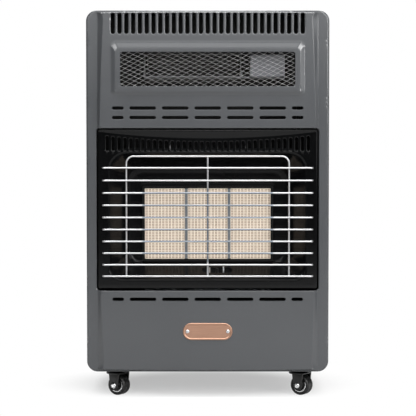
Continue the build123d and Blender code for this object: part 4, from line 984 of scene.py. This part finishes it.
def build_plaques(size):
    """Three ceramic plaques, each a grid of drilled tiles with a groove between its columns."""
    front = PLAQUE_LOW[1]
    sunk, deep = 0.35, 3.8  # depths of the tile's lowered middle and of its holes
    half_x, half_z = size.tile_width / 2, size.tile_height / 2
    holes = [Opening(x, -0.85, 0.85, 0.85, 0.85) for x in (-1.15, 1.15)]
    press = Pressing(Opening(0, -half_z, half_z, half_x, 0.0), holes)
    press.edge_ring([(-half_x, -half_z), (half_x, -half_z), (half_x, half_z), (-half_x, half_z)])
    rims = [spokes(6, (0.85, 0), (0, 1)) + (hole.x, 0) for hole in holes]
    for rim in rims:
        press.edge_ring(rim)
    press.scatter([(x, z) for x in (-2.3, 2.3) for z in (SPECK - half_z, 0, half_z - SPECK)], 0.05)
    shells = [press.surface(lambda x, z: np.where(np.abs(x) < 2.1, sunk, 0.0))]
    for rim in rims:
        points, faces = ring_stack([lifted(rim, sunk), lifted(rim, deep)], caps=False)
        faces.append(tuple(range(11, 5, -1)))
        shells.append((points, [tuple(reversed(face)) for face in faces]))
    unit = new_piece("plaque_tile", *joined(shells), sharp=30.0)
    columns = int(size.plaque_width / size.tile_width)
    rows = int(size.plaque_height / size.tile_height)
    across = np.arange(columns) * size.tile_width - (columns - 1) / 2 * size.tile_width
    along = np.arange(rows) * size.tile_height - (rows - 1) / 2 * size.tile_height
    plaques = []
    for node, side in (("plaque_left", -1), ("plaque_centre", 0), ("plaque_right", 1)):
        middle = side * size.plaque_pitch
        places = [(middle + x, front, PLAQUE_Z + z) for x in across for z in along]
        copy = linked("plaque_tile", unit.data.copy())
        tiles = repeated(node + "_tiles", copy, places, "plaque_ceramic", sharp=30.0)
        plaques.append((node, middle, tiles))
    drop(unit)
    for node, middle, tiles in plaques:
        settle(tiles, "plaque_ceramic", "root", (node,))
        rings = []
        for half, tall, radius, depths in (
            (columns * size.tile_width / 2, rows * size.tile_height / 2, 0.01, (front + 4.2, front)),
            (size.plaque_width / 2 + 2, size.plaque_height / 2 + 2, 0.8, (front, PLAQUE_HIGH[1])),
        ):
            ring = rounded_ring(half, PLAQUE_Z - tall, PLAQUE_Z + tall, radius, radius, 3) + [middle, 0]
            rings += [lifted(ring, y) for y in depths]
        settle(facing_out(new_piece(node + "_block", *ring_stack(rings), sharp=30.0)), "plaque_ceramic")


# ---------------------------------------------------------------- turned, bent and stacked pieces


def build_guard(burner, wires):
    """The guard's bent bars, hoop, middle wire and the welds where they cross."""
    guard_y = FRONT_Y + wires.wire
    hoop_y = guard_y + 2 * wires.wire
    half = burner.recess_width / 2 + wires.bar_reach
    mouth_high = BEZEL_LOW[2] + burner.recess_rise + burner.recess_tall
    top = mouth_high - wires.bar_drop
    heights = [top - wires.pitch * i + wires.pitch_step * i * (i - 1) / 2 for i in range(wires.bars)]
    bends = [(-half, FACE_Y, top), (-half, guard_y, top), (half, guard_y, top), (half, FACE_Y, top)]
    path = new_piece("bar_path", bends, [])
    path.data.edges.add(3)
    for edge, ends in zip(path.data.edges, ((0, 1), (1, 2), (2, 3))):
        edge.vertices = ends
    inputs = {"Bars": wires.bars, "Finish": FINISHES["chromed_wire"]}
    names = {"Wire radius": "wire", "Bend": "bend", "Pitch": "pitch", "Pitch step": "pitch_step"}
    inputs.update((title, getattr(wires, name) / 1000) for title, name in names.items())
    bars = run_tree("guard_bent_bars", path, wire_tree(), inputs)
    smoothed(bars.data, 50)
    settle(bars, "chromed_wire", "root", ("guard_bars",))
    low, high = heights[-1] - wires.wire, mouth_high - wires.hoop_drop
    side = wires.hoop_half
    bends = [(x, hoop_y, z) for x, z in ((-side, low), (-side, high), (side, high), (side, low))]
    hoop = tube(bent_path(bends, wires.hoop_bend, 12), wires.wire)
    middle = tube([(0, hoop_y, low), (0, hoop_y, high)], wires.wire)
    piece = facing_out(new_piece("guard_bent_hoop", *joined([hoop, middle]), sharp=50.0))
    settle(piece, "chromed_wire", "root", ("guard_hoop",))
    profile = [(SPECK, -2.1), (1.0, -1.9), (1.9, -1.1), (2.2, 0), (1.9, 1.1), (1.0, 1.9), (SPECK, 2.1)]
    blob = facing_out(new_piece("weld", *turned(profile, 10, (0, 0, 0), (1, 0, 0))))
    places = [(x, guard_y + wires.wire, z) for x in (-side, 0, side) for z in heights]
    welds = repeated("guard_welds", blob, places, "chromed_wire", turn=0.3, sharp=60.0)
    settle(welds, "chromed_wire")


def build_badge():
    """The copper plate with a rolled rim round a sunk face, and its two domed rivets."""
    (_, _, low), (half, back, high) = corners("badge_plate")
    steps = [(0.0, 0.0), (0.0, -0.6), (0.15, -0.95), (0.5, -1.3), (1.0, -1.52), (1.6, -1.6), (2.2, -1.52)]
    steps += [(2.7, -1.3), (3.1, -0.95), (3.4, -0.78), (3.9, -0.7), (6.0, -0.7), (9.0, -0.7), (12.0, -0.7)]
    rings = []
    for inset, y in steps:
        radius = (high - low) / 2 - inset
        ring = rounded_ring(half - inset, low + inset, high - inset, radius, radius, 14, 1, 10)
        rings.append(lifted(ring, back + y))
    plate = facing_out(new_piece("badge_rolled", *ring_stack(rings)))
    settle(plate, "badge_copper", "root", ("badge_plate",))
    profile = [(3.7, 0.3), (3.7, 0.0), (3.5, -0.55), (2.9, -1.1), (1.9, -1.45), (0.9, -1.58), (SPECK, -1.6)]
    head = facing_out(new_piece("rivet_head", *turned(profile, 24, (0, 0, 0), (0, 1, 0))))
    places = [(x, back - 0.8, (low + high) / 2) for x in (-37.5, 37.5)]
    rivets = repeated("badge_domes", head, places, "probe_steel")
    settle(rivets, "probe_steel", "root", ("badge_rivets",))


def convex_outline(cloud):
    """The convex outline of points, counter-clockwise."""
    cloud = sorted(map(tuple, np.round(cloud, 5)))

    def half_outline(some):
        chain = []
        for point in some:
            while len(chain) > 1:
                (ax, ay), (bx, by) = chain[-2:]
                if (bx - ax) * (point[1] - ay) - (by - ay) * (point[0] - ax) > 1e-9:
                    break
                chain.pop()
            chain.append(point)
        return chain[:-1]

    return np.array(half_outline(cloud) + half_outline(cloud[::-1]))


def round_outline(circles):
    """The convex outline round circles given as (x, y, radius)."""
    circle = spokes(72, (1, 0), (0, 1))
    return convex_outline(np.vstack([circle * radius + (x, y) for x, y, radius in circles]))


def inset(outline, reach):
    """An outline moved inwards by so much."""
    ahead = unit_rows(np.roll(outline, -1, axis=0) - outline)
    behind = unit_rows(outline - np.roll(outline, 1, axis=0))
    inward = np.column_stack([-(ahead + behind)[:, 1], (ahead + behind)[:, 0]])
    return outline + unit_rows(inward) * reach


def rounded_slab(outline, low, high, rounding, axis=2):
    """A flat plate with rounded edges, between two places along an axis."""
    steps = [(rounding, low), (rounding * 0.3, low + rounding * 0.3), (0, low + rounding)]
    steps += [(0, high - rounding), (rounding * 0.3, high - rounding * 0.3), (rounding, high)]
    return ring_stack([lifted(inset(outline, reach), place, axis) for reach, place in steps])


def build_casters(size):
    """Four casters: plate and raceway, fork with rounded legs, bolt, wheel and its bright rings."""
    crown_low = 2 * size.wheel + 1.8
    crown_high = crown_low + 3.0
    plate_low = crown_high + 0.3 + 4.3
    wheel_half = size.wheel_width / 2
    leg_inner = wheel_half + 5.0
    leg_outer = leg_inner + size.leg
    trail = size.trail

    def both_sides(profile, segments, along, closed=False):
        """A lathe shell about the bolt's axis at each side of the wheel."""
        return [
            turned(profile, segments, (side * along, trail, size.wheel), (side, 0, 0), closed)
            for side in (-1, 1)
        ]

    crown_corners = [(x, trail + y, 3.0) for x in (3 - leg_outer, leg_outer - 3) for y in (-8.5, 8.5)]
    crown = rounded_slab(round_outline([(0, 0, size.crown), *crown_corners]), crown_low, crown_high, 0.8)
    pin = turned([(4, crown_high - 0.2), (4, plate_low + 1.5)], 20, (0, 0, 0), (0, 0, 1))
    leg_corners = [(trail + y, crown_high - 1.5, 1.0) for y in (-10.5, 10.5)]
    leg_outline = round_outline([(trail, size.wheel, 9.0), *leg_corners])
    legs = [rounded_slab(leg_outline, low, low + size.leg, 0.5, 0) for low in (leg_inner, -leg_outer)]
    bosses = both_sides([(7.2, 0), (7.2, 0.5), (6.6, 0.9), (5.0, 0.9)], 28, leg_outer - 0.1)
    head = [(SPECK, 0.0), (4.9, 0.0), (5.2, 0.5), (5.2, 1.1), (4.9, 2.0), (4.0, 2.7)]
    head += [(2.6, 3.0), (1.2, 2.9), (0.9, 2.5), (SPECK, 2.4)]
    rod = turned([(3.0, -leg_outer), (3.0, leg_outer)], 20, (0, trail, size.wheel), (1, 0, 0))
    half = [(3.1, leg_inner - 0.3), (5.0, leg_inner - 0.3), (5.5, leg_inner - 0.9)]
    steps = [(5.5, 3.2), (6.4, 3.9), (9.4, 3.6), (9.8, 2.9), (13.8, 2.4), (14.2, 1.0), (15.0, 0.25)]
    steps += [(16.2, 0.0), (17.4, 0.5), (18.3, 1.5), (18.8, 2.8), (19.0, 4.4)]
    half += [(radius, wheel_half - inward) for radius, inward in steps]
    half += [(19.0, 1.2), (18.75, 0.5)]
    profile = half + [(radius, -along) for radius, along in reversed(half)]
    wheel = turned(profile, 64, (0, trail, size.wheel), (1, 0, 0), closed=True)
    band = [(9.7, 0.0), (9.8, 0.8), (10.4, 1.5), (11.8, 2.1), (13.4, 1.8), (14.1, 0.9), (14.2, 0.0)]
    plate = rounded_slab(rounded_ring(21, -21, 21, 6, 6, 7), plate_low, plate_low + 2, 0.5)
    dome = [(16, plate_low + 0.2), (16, plate_low - 0.7), (15.6, plate_low - 1.3), (14.4, plate_low - 1.9)]
    dome += [(13.9, plate_low - 3.0), (13.4, crown_high + 0.9)]
    dome += [(12.6, crown_high + 0.35), (4.1, crown_high + 0.35)]
    race = turned(dome, 48, (0, 0, 0), (0, 0, 1))
    made = {
        "plate": ("caster_black", "root", "caster_plate_{}", [plate, race]),
        "fork": ("caster_black", "swivel_{}", "caster_fork_{}", [crown, pin, *legs, *bosses]),
        "bolt": ("caster_steel", "swivel_{}", "caster_axle_{}", [*both_sides(head, 28, leg_outer), rod]),
        "wheel": ("caster_tread", "wheel_{}", "caster_wheel_{}", [wheel]),
        "rings": ("caster_steel", "wheel_{}", "", both_sides(band, 56, wheel_half - 3.0, closed=True)),
    }
    for place in ("front_left", "front_right", "rear_left", "rear_right"):
        low, high = corners(f"caster_plate_{place}")
        middle = Matrix.Translation((*(low + high)[:2] / 2, 0))
        for key, (slot, body, node, shells) in made.items():
            stand = middle if key == "plate" else middle @ Matrix.Rotation(size.turn, 4, "Z")
            stand = np.array(stand)
            points, faces = joined(shells)
            moved = points @ stand[:3, :3].T + stand[:3, 3]
            piece = facing_out(new_piece(f"{key}_{place}", moved, faces, sharp=38.0))
            settle(piece, slot, body.format(place), (node.format(place),) if node else ())


# ---------------------------------------------------------------- finishes


FINISHES = {}


def finish(name, base, rough, normal, **others):
    """Makes a Principled material; a callable gets the graph and returns its socket's source."""
    material = bpy.data.materials.new(name)
    material.diffuse_color = (0.5, 0.5, 0.5, 1)
    graph = cleared(material)
    sockets = {"Base Color": base, "Roughness": rough, "Normal": normal}
    sockets.update((key.replace("_", " "), value) for key, value in others.items())
    sockets = {key: value(graph) if callable(value) else value for key, value in sockets.items()}
    shader = graph.node("ShaderNodeBsdfPrincipled", sockets)
    graph.node("ShaderNodeOutputMaterial", {"Surface": shader})
    FINISHES[name] = material


def shade(tone, factor):
    """A colour made lighter or darker."""
    return tuple(min(1.0, part * factor) for part in tone[:3]) + (1.0,)


def drifting(scale, detail, first, second):
    """A colour that drifts between two."""
    return lambda graph: graph.blend(graph.noise(scale, detail), (*first[:3], 1), (*second[:3], 1))


def shades(scale, detail, tone, dark, light):
    """A colour that drifts between two shades of a tone."""
    return drifting(scale, detail, shade(tone, dark), shade(tone, light))


def drawn(scale, tone, dark, light):
    """Fine lines along X, as rolling, drawing or turning leaves them."""
    return lambda graph: graph.blend(
        graph.noise(scale, 4.0, 0.6, (0.03, 1, 1)), shade(tone, dark), shade(tone, light)
    )


def worn(scale, detail, low, high, rough=0.5, stretch=1, start=0.2):
    """A roughness that drifts between two values."""
    return lambda graph: graph.noise(scale, detail, rough, (stretch, 1, 1)).spread(start, 0.8, low, high)


def peel(strength, scale=520.0, reach=0.00012):
    """The slight unevenness of a skin."""
    return lambda graph: graph.bump(graph.noise(scale, 3.0, 0.55), strength, reach)


def near_plaques(graph, half_x, half_z, edge):
    """One over the plaques as seen from the front, nought beyond them."""
    beside = graph.along(0).absolute().spread(half_x, half_x + edge, 1.0, 0.0)
    return beside * (graph.along(2) - PLAQUE_Z / 1000).absolute().spread(half_z, half_z + edge, 1.0, 0.0)


def make_finishes(tones):
    """All finishes, by name; the first ones are those of the cabinet and the burner surround."""
    enamel = tones.enamel

    def body_colour(graph):
        """Grey enamel with broad drifts and fine pale specks."""
        tone = graph.blend(graph.noise(5.5, 3.0, 0.55), shade(tones.body, 0.90), shade(tones.body, 1.10))
        fine = graph.noise(1400.0, 2.0, 0.7).spread(0.55, 0.75, 0.0, 0.35)
        return graph.blend(fine, tone, shade(tones.body, 1.7))

    def spangle(graph):
        """Zinc crystals of slightly different greys."""
        level = graph.node("ShaderNodeSeparateColor", [graph.cells(160.0, "Color")])
        return graph.blend(level, shade(tones.zinc, 0.72), shade(tones.zinc, 1.12))

    def frame_strips(graph):
        """One over the plaque frame's bare strips, nought over its enamelled border."""
        return near_plaques(graph, 0.1165, 0.0655, 0.001)

    def frame_colour(graph):
        steel = drifting(40.0, 4.0, (0.12, 0.13, 0.14), (0.19, 0.20, 0.212))(graph)
        return graph.blend(frame_strips(graph), (0.004, 0.004, 0.004, 1), steel)

    def duct_colour(graph):
        """Steel painted near-black as shade, with a painted band of light along its lower lip."""
        lip = (graph.along(2) - DUCT_LIT_BAND).absolute().spread(0.004, 0.006, 1.0, 0.0)
        steel = drifting(40.0, 4.0, (0.004, 0.004, 0.004), (0.010, 0.0095, 0.009))(graph)
        return graph.blend(lip, steel, (0.11, 0.11, 0.115, 1.0))

    def wire_colour(graph):
        """Bright chrome that the burner has tinted where the wires pass in front of it."""
        tone = shades(60.0, 3.0, tones.chrome, 0.92, 1.0)(graph)
        return graph.blend(near_plaques(graph, 0.1195, 0.0665, 0.003), tone, (0.20, 0.225, 0.255, 1.0))

    def ceramic_colour(graph):
        """Cream with darker grains and faint scorching; the walls of the holes carry painted shade, darker
        deeper in.
        """
        pale, dark = shade(tones.ceramic, 1.06), shade(tones.ceramic, 0.93)
        tone = graph.blend(graph.noise(26.0, 5.0, 0.6), dark, pale)
        grains = graph.cells(2600.0).spread(0.0, 0.5, 0.2, 0.0)
        tone = graph.blend(grains, tone, shade(tones.ceramic, 0.7))
        scorch = graph.noise(9.0, 3.0, 0.6, lean=0.4).spread(0.55, 0.8, 0.0, 0.22)
        tone = graph.blend(scorch, tone, (0.70, 0.52, 0.36, 1.0))
        # Painted shade: the holes' walls turn dark warm brown with depth, standing in for the shade and
        # bounced light inside them.
        inward = (graph.along(1) - PLAQUE_LOW[1] / 1000).spread(0.00005, 0.001)
        return graph.blend(inward, tone, (0.26, 0.135, 0.075, 1.0))

    metal = {"Metallic": 1.0}
    gloss = peel(0.2, 260.0, 0.00015)
    finish("body_enamel", body_colour, worn(24.0, 4.0, 0.17, 0.24, 0.6), peel(0.22), Specular_IOR_Level=0.5)
    finish(
        "black_enamel",
        shades(9.0, 4.0, enamel, 0.5, 1.1),
        worn(40.0, 5.0, 0.08, 0.15, 0.6, start=0.25),
        gloss,
        Specular_IOR_Level=0.2,
    )
    finish(
        "recess_enamel",
        shades(9.0, 4.0, enamel, 0.7, 1.8),
        worn(30.0, 5.0, 0.1, 0.18, 0.6, start=0.25),
        gloss,
        Specular_IOR_Level=0.12,
    )
    finish("galvanised_steel", spangle, worn(90.0, 3.0, 0.34, 0.52), peel(0.2, 300.0), Metallic=0.9)
    black = (0.003, 0.003, 0.003)
    motor = drifting(40.0, 4.0, (0.105, 0.108, 0.115), (0.135, 0.139, 0.149))
    for name, colours, metallic, smooth, rough, mirror in (
        # Painted shade: near-black colour for the divider panel and pilot bracket, standing in for the
        # shade they sit in, not their zinc.
        ("shade_black_sheet", drifting(40.0, 4.0, black, (0.008, 0.008, 0.0075)), 0.1, 0.6, 0.8, 0.25),
        ("burner_steel", frame_colour, lambda graph: frame_strips(graph) * 0.7, 0.42, 0.58, 0.12),
        ("motor_steel", motor, 0.0, 0.45, 0.6, 0.25),
        # Painted shade: near-black colour for the impeller, bearing, supply tube and pilot burner, standing
        # in for the shade they sit in, not their own metal.
        ("shade_dark_metal", drifting(40.0, 4.0, black, (0.010, 0.0095, 0.009)), 0.2, 0.4, 0.55, 0.25),
        # Painted light: the blower housing is coloured near-black as shade, with a painted band of light
        # along its lower lip.
        ("shaded_duct_lit_lip", duct_colour, 0.1, 0.4, 0.55, 0.25),
    ):
        dull = worn(120.0, 3.0, smooth, rough)
        finish(name, colours, dull, peel(0.25, 400.0), Metallic=metallic, Specular_IOR_Level=mirror)
    strands = drifting(260.0, 3.0, (0.34, 0.34, 0.343), (0.50, 0.50, 0.50))
    finish("stretched_mesh", strands, worn(500.0, 3.0, 0.34, 0.5), peel(0.3, 900.0), Metallic=0.5)
    polish = worn(300.0, 4.0, 0.26, 0.38)
    finish("chromed_wire", wire_colour, polish, peel(0.15, 700.0, 0.00006), Metallic=0.85)
    finish("plaque_ceramic", ceramic_colour, 0.9, peel(0.5, 1500.0), Specular_IOR_Level=0.25)
    rolled = drawn(900.0, (0.66, 0.67, 0.68), 0.88, 1.08)
    finish("aluminium", rolled, worn(700.0, 3.0, 0.28, 0.42, stretch=0.05), peel(0.12, 900.0), **metal)
    turned_brass = drawn(500.0, tones.brass, 0.8, 1.12)
    finish("brass", turned_brass, worn(300.0, 4.0, 0.22, 0.4), peel(0.15, 800.0), **metal)
    clay = drifting(150.0, 4.0, (0.22, 0.21, 0.19), (0.34, 0.32, 0.29))
    finish("spark_ceramic", clay, worn(200.0, 2.0, 0.3, 0.5), peel(0.2, 600.0))
    turned_steel = drawn(700.0, tones.zinc, 0.86, 1.15)
    finish("probe_steel", turned_steel, worn(400.0, 3.0, 0.2, 0.36), peel(0.12, 700.0), **metal)
    plated = drifting(200.0, 3.0, (0.74, 0.75, 0.76), (0.86, 0.86, 0.86))
    finish("caster_steel", plated, worn(500.0, 3.0, 0.14, 0.28), peel(0.12, 900.0), **metal)
    finish(
        "black_plastic",
        shades(30.0, 3.0, tones.plastic, 0.8, 1.3),
        lambda graph: graph.cells(1500.0).spread(0.0, 0.6, 0.42, 0.6),
        lambda graph: graph.bump(graph.cells(1500.0), 0.3, 0.00012),
    )
    red = shades(60.0, 3.0, tones.red, 0.85, 1.15)
    finish("red_plastic", red, worn(90.0, 3.0, 0.22, 0.34), peel(0.12, 300.0), Coat_Weight=0.2)
    finish(
        "badge_copper",
        drawn(1300.0, tones.copper, 0.8, 1.2),
        worn(900.0, 3.0, 0.3, 0.46, stretch=0.03),
        lambda graph: graph.bump(graph.noise(1600.0, 3.0, stretch=(0.04, 1, 1)), 0.2, 0.0001),
        Metallic=0.85,
    )
    paint = drifting(80.0, 3.0, (0.0022, 0.0022, 0.0023), (0.006, 0.006, 0.006))
    finish("caster_black", paint, worn(120.0, 4.0, 0.28, 0.42), peel(0.25, 600.0))
    rubber = drifting(120.0, 4.0, black, (0.009, 0.009, 0.009))
    finish("caster_tread", rubber, worn(160.0, 4.0, 0.36, 0.5), peel(0.3, 900.0))


# ---------------------------------------------------------------- stage


def white_seen(graph, lit, white, share=None):
    """A floor or world that lights pieces as it is, but shows the camera white, or a share of it."""
    rays = graph.node("ShaderNodeLightPath", output="Is Camera Ray")
    return graph.node("ShaderNodeMixShader", [rays if share is None else share * rays, lit, white])


LAMPS = {  # name: place, target, width, height, watts
    "key_light": ((1.35, -2.1, 1.45), MIDDLE, 0.35, 1.7, 42.0),
    "fill_light": ((-1.3, -2.2, 1.5), MIDDLE, 0.2, 1.1, 12.0),
    "front_light": ((0.2, -2.0, 2.5), MIDDLE, 2.4, 0.8, 18.0),
    "strip_light": ((0.0, -0.75, 2.3), (0.0, -0.2, 0.6), 2.2, 0.7, 62.0),
    "wall_glow": ((0.0, -3.9, 1.75), (0.0, 0.0, 0.6), 3.0, 1.7, 33.0),
    "right_light": ((2.3, -1.2, 1.2), MIDDLE, 1.6, 1.7, 21.0),
    "overhead_light": ((0.0, 0.1, 2.6), (0.0, 0.1, 0.4), 1.8, 1.0, 14.0),
    "edge_light": ((0.0, 1.1, 2.6), (0.0, 0.0, 0.7), 2.2, 0.5, 50.0),
    "back_light": ((0.0, 2.5, 2.0), (0.0, 0.1, 0.6), 1.6, 1.2, 18.0),
}


def build_stage():
    """A pale floor, soft lights, and the camera at the photograph's place."""
    scene = bpy.context.scene
    corners_of_floor = [(-6000, -5000, 0), (6000, -5000, 0), (6000, 7000, 0), (-6000, 7000, 0)]
    floor = new_piece("floor", corners_of_floor, [(0, 1, 2, 3)])
    material = bpy.data.materials.new("pale_floor")
    graph = cleared(material)
    lit = graph.node("ShaderNodeBsdfDiffuse", {"Color": (0.56, 0.56, 0.56, 1), "Roughness": 0.5})
    white = graph.node("ShaderNodeEmission", {"Color": (1, 1, 1, 1), "Strength": 1.0})
    under = graph.places((0.88, 1.25, 1), (0, 0.03, 0))
    far = graph.node("ShaderNodeVectorMath", [under], 1, operation="LENGTH").spread(0.14, 0.31, 0.46, 1.0)
    graph.node("ShaderNodeOutputMaterial", {"Surface": white_seen(graph, lit, white, far)})
    floor.data.materials.append(material)
    scene.world = bpy.data.worlds.new("studio")
    graph = cleared(scene.world)
    glow, white = (
        graph.node("ShaderNodeBackground", {"Color": tone, "Strength": 1.0})
        for tone in ((0.055, 0.056, 0.058, 1), (1, 1, 1, 1))
    )
    graph.node("ShaderNodeOutputWorld", {"Surface": white_seen(graph, glow, white)})
    for name, (place, target, width, height, watts) in LAMPS.items():
        data = bpy.data.lights.new(name, "AREA")
        data.shape = "RECTANGLE"
        data.size, data.size_y, data.energy = width, height, watts
        lamp = linked(name, data)
        lamp.location = place
        lamp.rotation_euler = (Vector(place) - Vector(target)).to_track_quat("Z", "Y").to_euler()
    data = bpy.data.cameras.new("camera")
    data.sensor_width = 36.0
    data.lens = 1568.4 * data.sensor_width / 416.0  # a focal length of 1568.4 pixels in a frame of 416
    camera = linked("camera", data)
    camera.location = (0.00056, -3.1, 0.428 + UNDERSIDE / 1000)
    camera.rotation_euler = (radians(90 - 2.42), 0.0, 0.0)
    scene.camera = camera
    scene.view_settings.view_transform = "Standard"


# ---------------------------------------------------------------- operators


class HEATER_OT_finishes(Operator):
    """Make the finishes of all pieces"""

    bl_idname = "heater.finishes"
    bl_label = "Finishes"

    def execute(self, context):
        make_finishes(context.scene.heater_finishes)
        return {"FINISHED"}


class HEATER_OT_front(Operator):
    """Press the front panel with its slots, raised frame and rolled rim"""

    bl_idname = "heater.front"
    bl_label = "Front Panel"

    def execute(self, context):
        piece = build_front(millimetres(context.scene.heater_front))
        settle(piece, "body_enamel", "root", ("front_fascia",))
        return {"FINISHED"}


class HEATER_OT_mesh(Operator):
    """Weave the stretched mesh behind the upper window"""

    bl_idname = "heater.mesh"
    bl_label = "Stretched Mesh"

    def execute(self, context):
        scene = context.scene
        piece = build_mesh(millimetres(scene.heater_wires))
        settle(piece, "stretched_mesh", "root", ("mesh_panel",))
        return {"FINISHED"}


class HEATER_OT_surround(Operator):
    """Press the burner surround and draw the recess"""

    bl_idname = "heater.surround"
    bl_label = "Burner Surround"

    def execute(self, context):
        size = millimetres(context.scene.heater_burner)
        settle(build_surround(size), "black_enamel", "root", ("burner_bezel",))
        settle(build_recess(size), "black_enamel", "root", ("reflector_pan",), "recess_enamel")
        return {"FINISHED"}


class HEATER_OT_burner(Operator):
    """Drill the plaques and finish the frame, plenum and gas pipes"""

    bl_idname = "heater.burner"
    bl_label = "Burner"

    def execute(self, context):
        build_plaques(millimetres(context.scene.heater_burner))
        softened("plaque_frame", "galvanised_steel", 0.5, look="burner_steel")
        softened("burner_plenum", "galvanised_steel", 0.3)
        softened("gas_manifold", "aluminium", 0.3)
        # Painted shade: the supply tube and the pilot burner get a near-black look.
        softened("supply_tube", "aluminium", 0.3, look="shade_dark_metal")
        for node in ("gas_valve", "hose_tail"):
            softened(node, "brass", 0.35)
        softened("pilot_burner", "brass", 0.35, look="shade_dark_metal")
        # Painted shade: the pilot bracket gets a near-black look.
        softened("pilot_bracket", "galvanised_steel", 0.2, look="shade_black_sheet")
        softened("spark_electrode", "spark_ceramic", 0.3)
        softened("thermocouple", "probe_steel", 0.25)
        return {"FINISHED"}


class HEATER_OT_guard(Operator):
    """Bend and weld the wire guard"""

    bl_idname = "heater.guard"
    bl_label = "Wire Guard"

    def execute(self, context):
        scene = context.scene
        build_guard(millimetres(scene.heater_burner), millimetres(scene.heater_wires))
        return {"FINISHED"}


class HEATER_OT_badge(Operator):
    """Stamp the bare copper badge and set its rivets"""

    bl_idname = "heater.badge"
    bl_label = "Badge"

    def execute(self, context):
        build_badge()
        return {"FINISHED"}


class HEATER_OT_casters(Operator):
    """Turn the four casters' wheels and press their forks"""

    bl_idname = "heater.casters"
    bl_label = "Casters"

    def execute(self, context):
        build_casters(millimetres(context.scene.heater_casters))
        return {"FINISHED"}


class HEATER_OT_cabinet(Operator):
    """Finish the folded cabinet, its blower, controls, cups and cover"""

    bl_idname = "heater.cabinet"
    bl_label = "Cabinet"

    def execute(self, context):
        for node in ("side_panel_left", "side_panel_right", "top_panel", "rear_cover"):
            softened(node, "body_enamel", 0.5)
        softened("base_tray", "galvanised_steel", 0.4)
        # Painted light: the housing's look is near-black shade with a painted lit band at its lip.
        softened("blower_housing", "galvanised_steel", 0.4, look="shaded_duct_lit_lip")
        softened("blower_motor", "galvanised_steel", 0.4, look="motor_steel")
        # Painted shade: the divider panel is coloured near-black.
        softened("divider_panel", "galvanised_steel", 0.4, look="shade_black_sheet")
        # Painted shade: the impeller and its bearing are coloured near-black.
        softened("blower_impeller", "aluminium", 0.2, 1, look="shade_dark_metal")
        softened("blower_bearing", "brass", 0.4, look="shade_dark_metal")
        moulded = ("control_well", "control_knob", "igniter_body", "switch_frame", "cable_gland")
        for node in (*moulded, "handle_cup_left", "handle_cup_right"):
            softened(node, "black_plastic", 0.5)
        for node in ("igniter_button", "switch_rocker"):
            softened(node, "red_plastic", 0.5)
        for node in ("valve_spindle", "cover_screws"):
            softened(node, "probe_steel", 0.3)
        return {"FINISHED"}


class HEATER_OT_stage(Operator):
    """Set the floor, the lights and the camera"""

    bl_idname = "heater.stage"
    bl_label = "Stage"

    def execute(self, context):
        build_stage()
        return {"FINISHED"}


OPERATORS = (
    HEATER_OT_finishes,
    HEATER_OT_front,
    HEATER_OT_mesh,
    HEATER_OT_surround,
    HEATER_OT_burner,
    HEATER_OT_guard,
    HEATER_OT_badge,
    HEATER_OT_casters,
    HEATER_OT_cabinet,
    HEATER_OT_stage,
)


class HEATER_PT_panel(Panel):
    """Lists the heater's pieces in the order they are made"""

    bl_idname = "HEATER_PT_panel"
    bl_label = "Gas Cabinet Heater"
    bl_space_type = "VIEW_3D"
    bl_region_type = "UI"
    bl_category = "Heater"

    def draw(self, context):
        column = self.layout.column()
        for operator in OPERATORS:
            column.operator(operator.bl_idname)
        for key in GROUPS:
            group = getattr(context.scene, key)
            box = self.layout.box()
            for name in group.bl_rna.properties.keys():
                if name not in ("rna_type", "name"):
                    box.prop(group, name)


GROUPS = {
    "heater_front": HeaterFrontSizes,
    "heater_burner": HeaterBurnerSizes,
    "heater_wires": HeaterWireSizes,
    "heater_casters": HeaterCasterSizes,
    "heater_finishes": HeaterFinishes,
}


def register():
    for kind in (*GROUPS.values(), *OPERATORS, HEATER_PT_panel):
        bpy.utils.register_class(kind)
    for key, kind in GROUPS.items():
        setattr(bpy.types.Scene, key, PointerProperty(type=kind))


def unregister():
    for key in GROUPS:
        delattr(bpy.types.Scene, key)
    for kind in reversed((*GROUPS.values(), *OPERATORS, HEATER_PT_panel)):
        bpy.utils.unregister_class(kind)


def main():
    register()
    for operator in OPERATORS:
        family, name = operator.bl_idname.split(".")
        getattr(getattr(bpy.ops, family), name)()


if __name__ == "__main__":
    main()
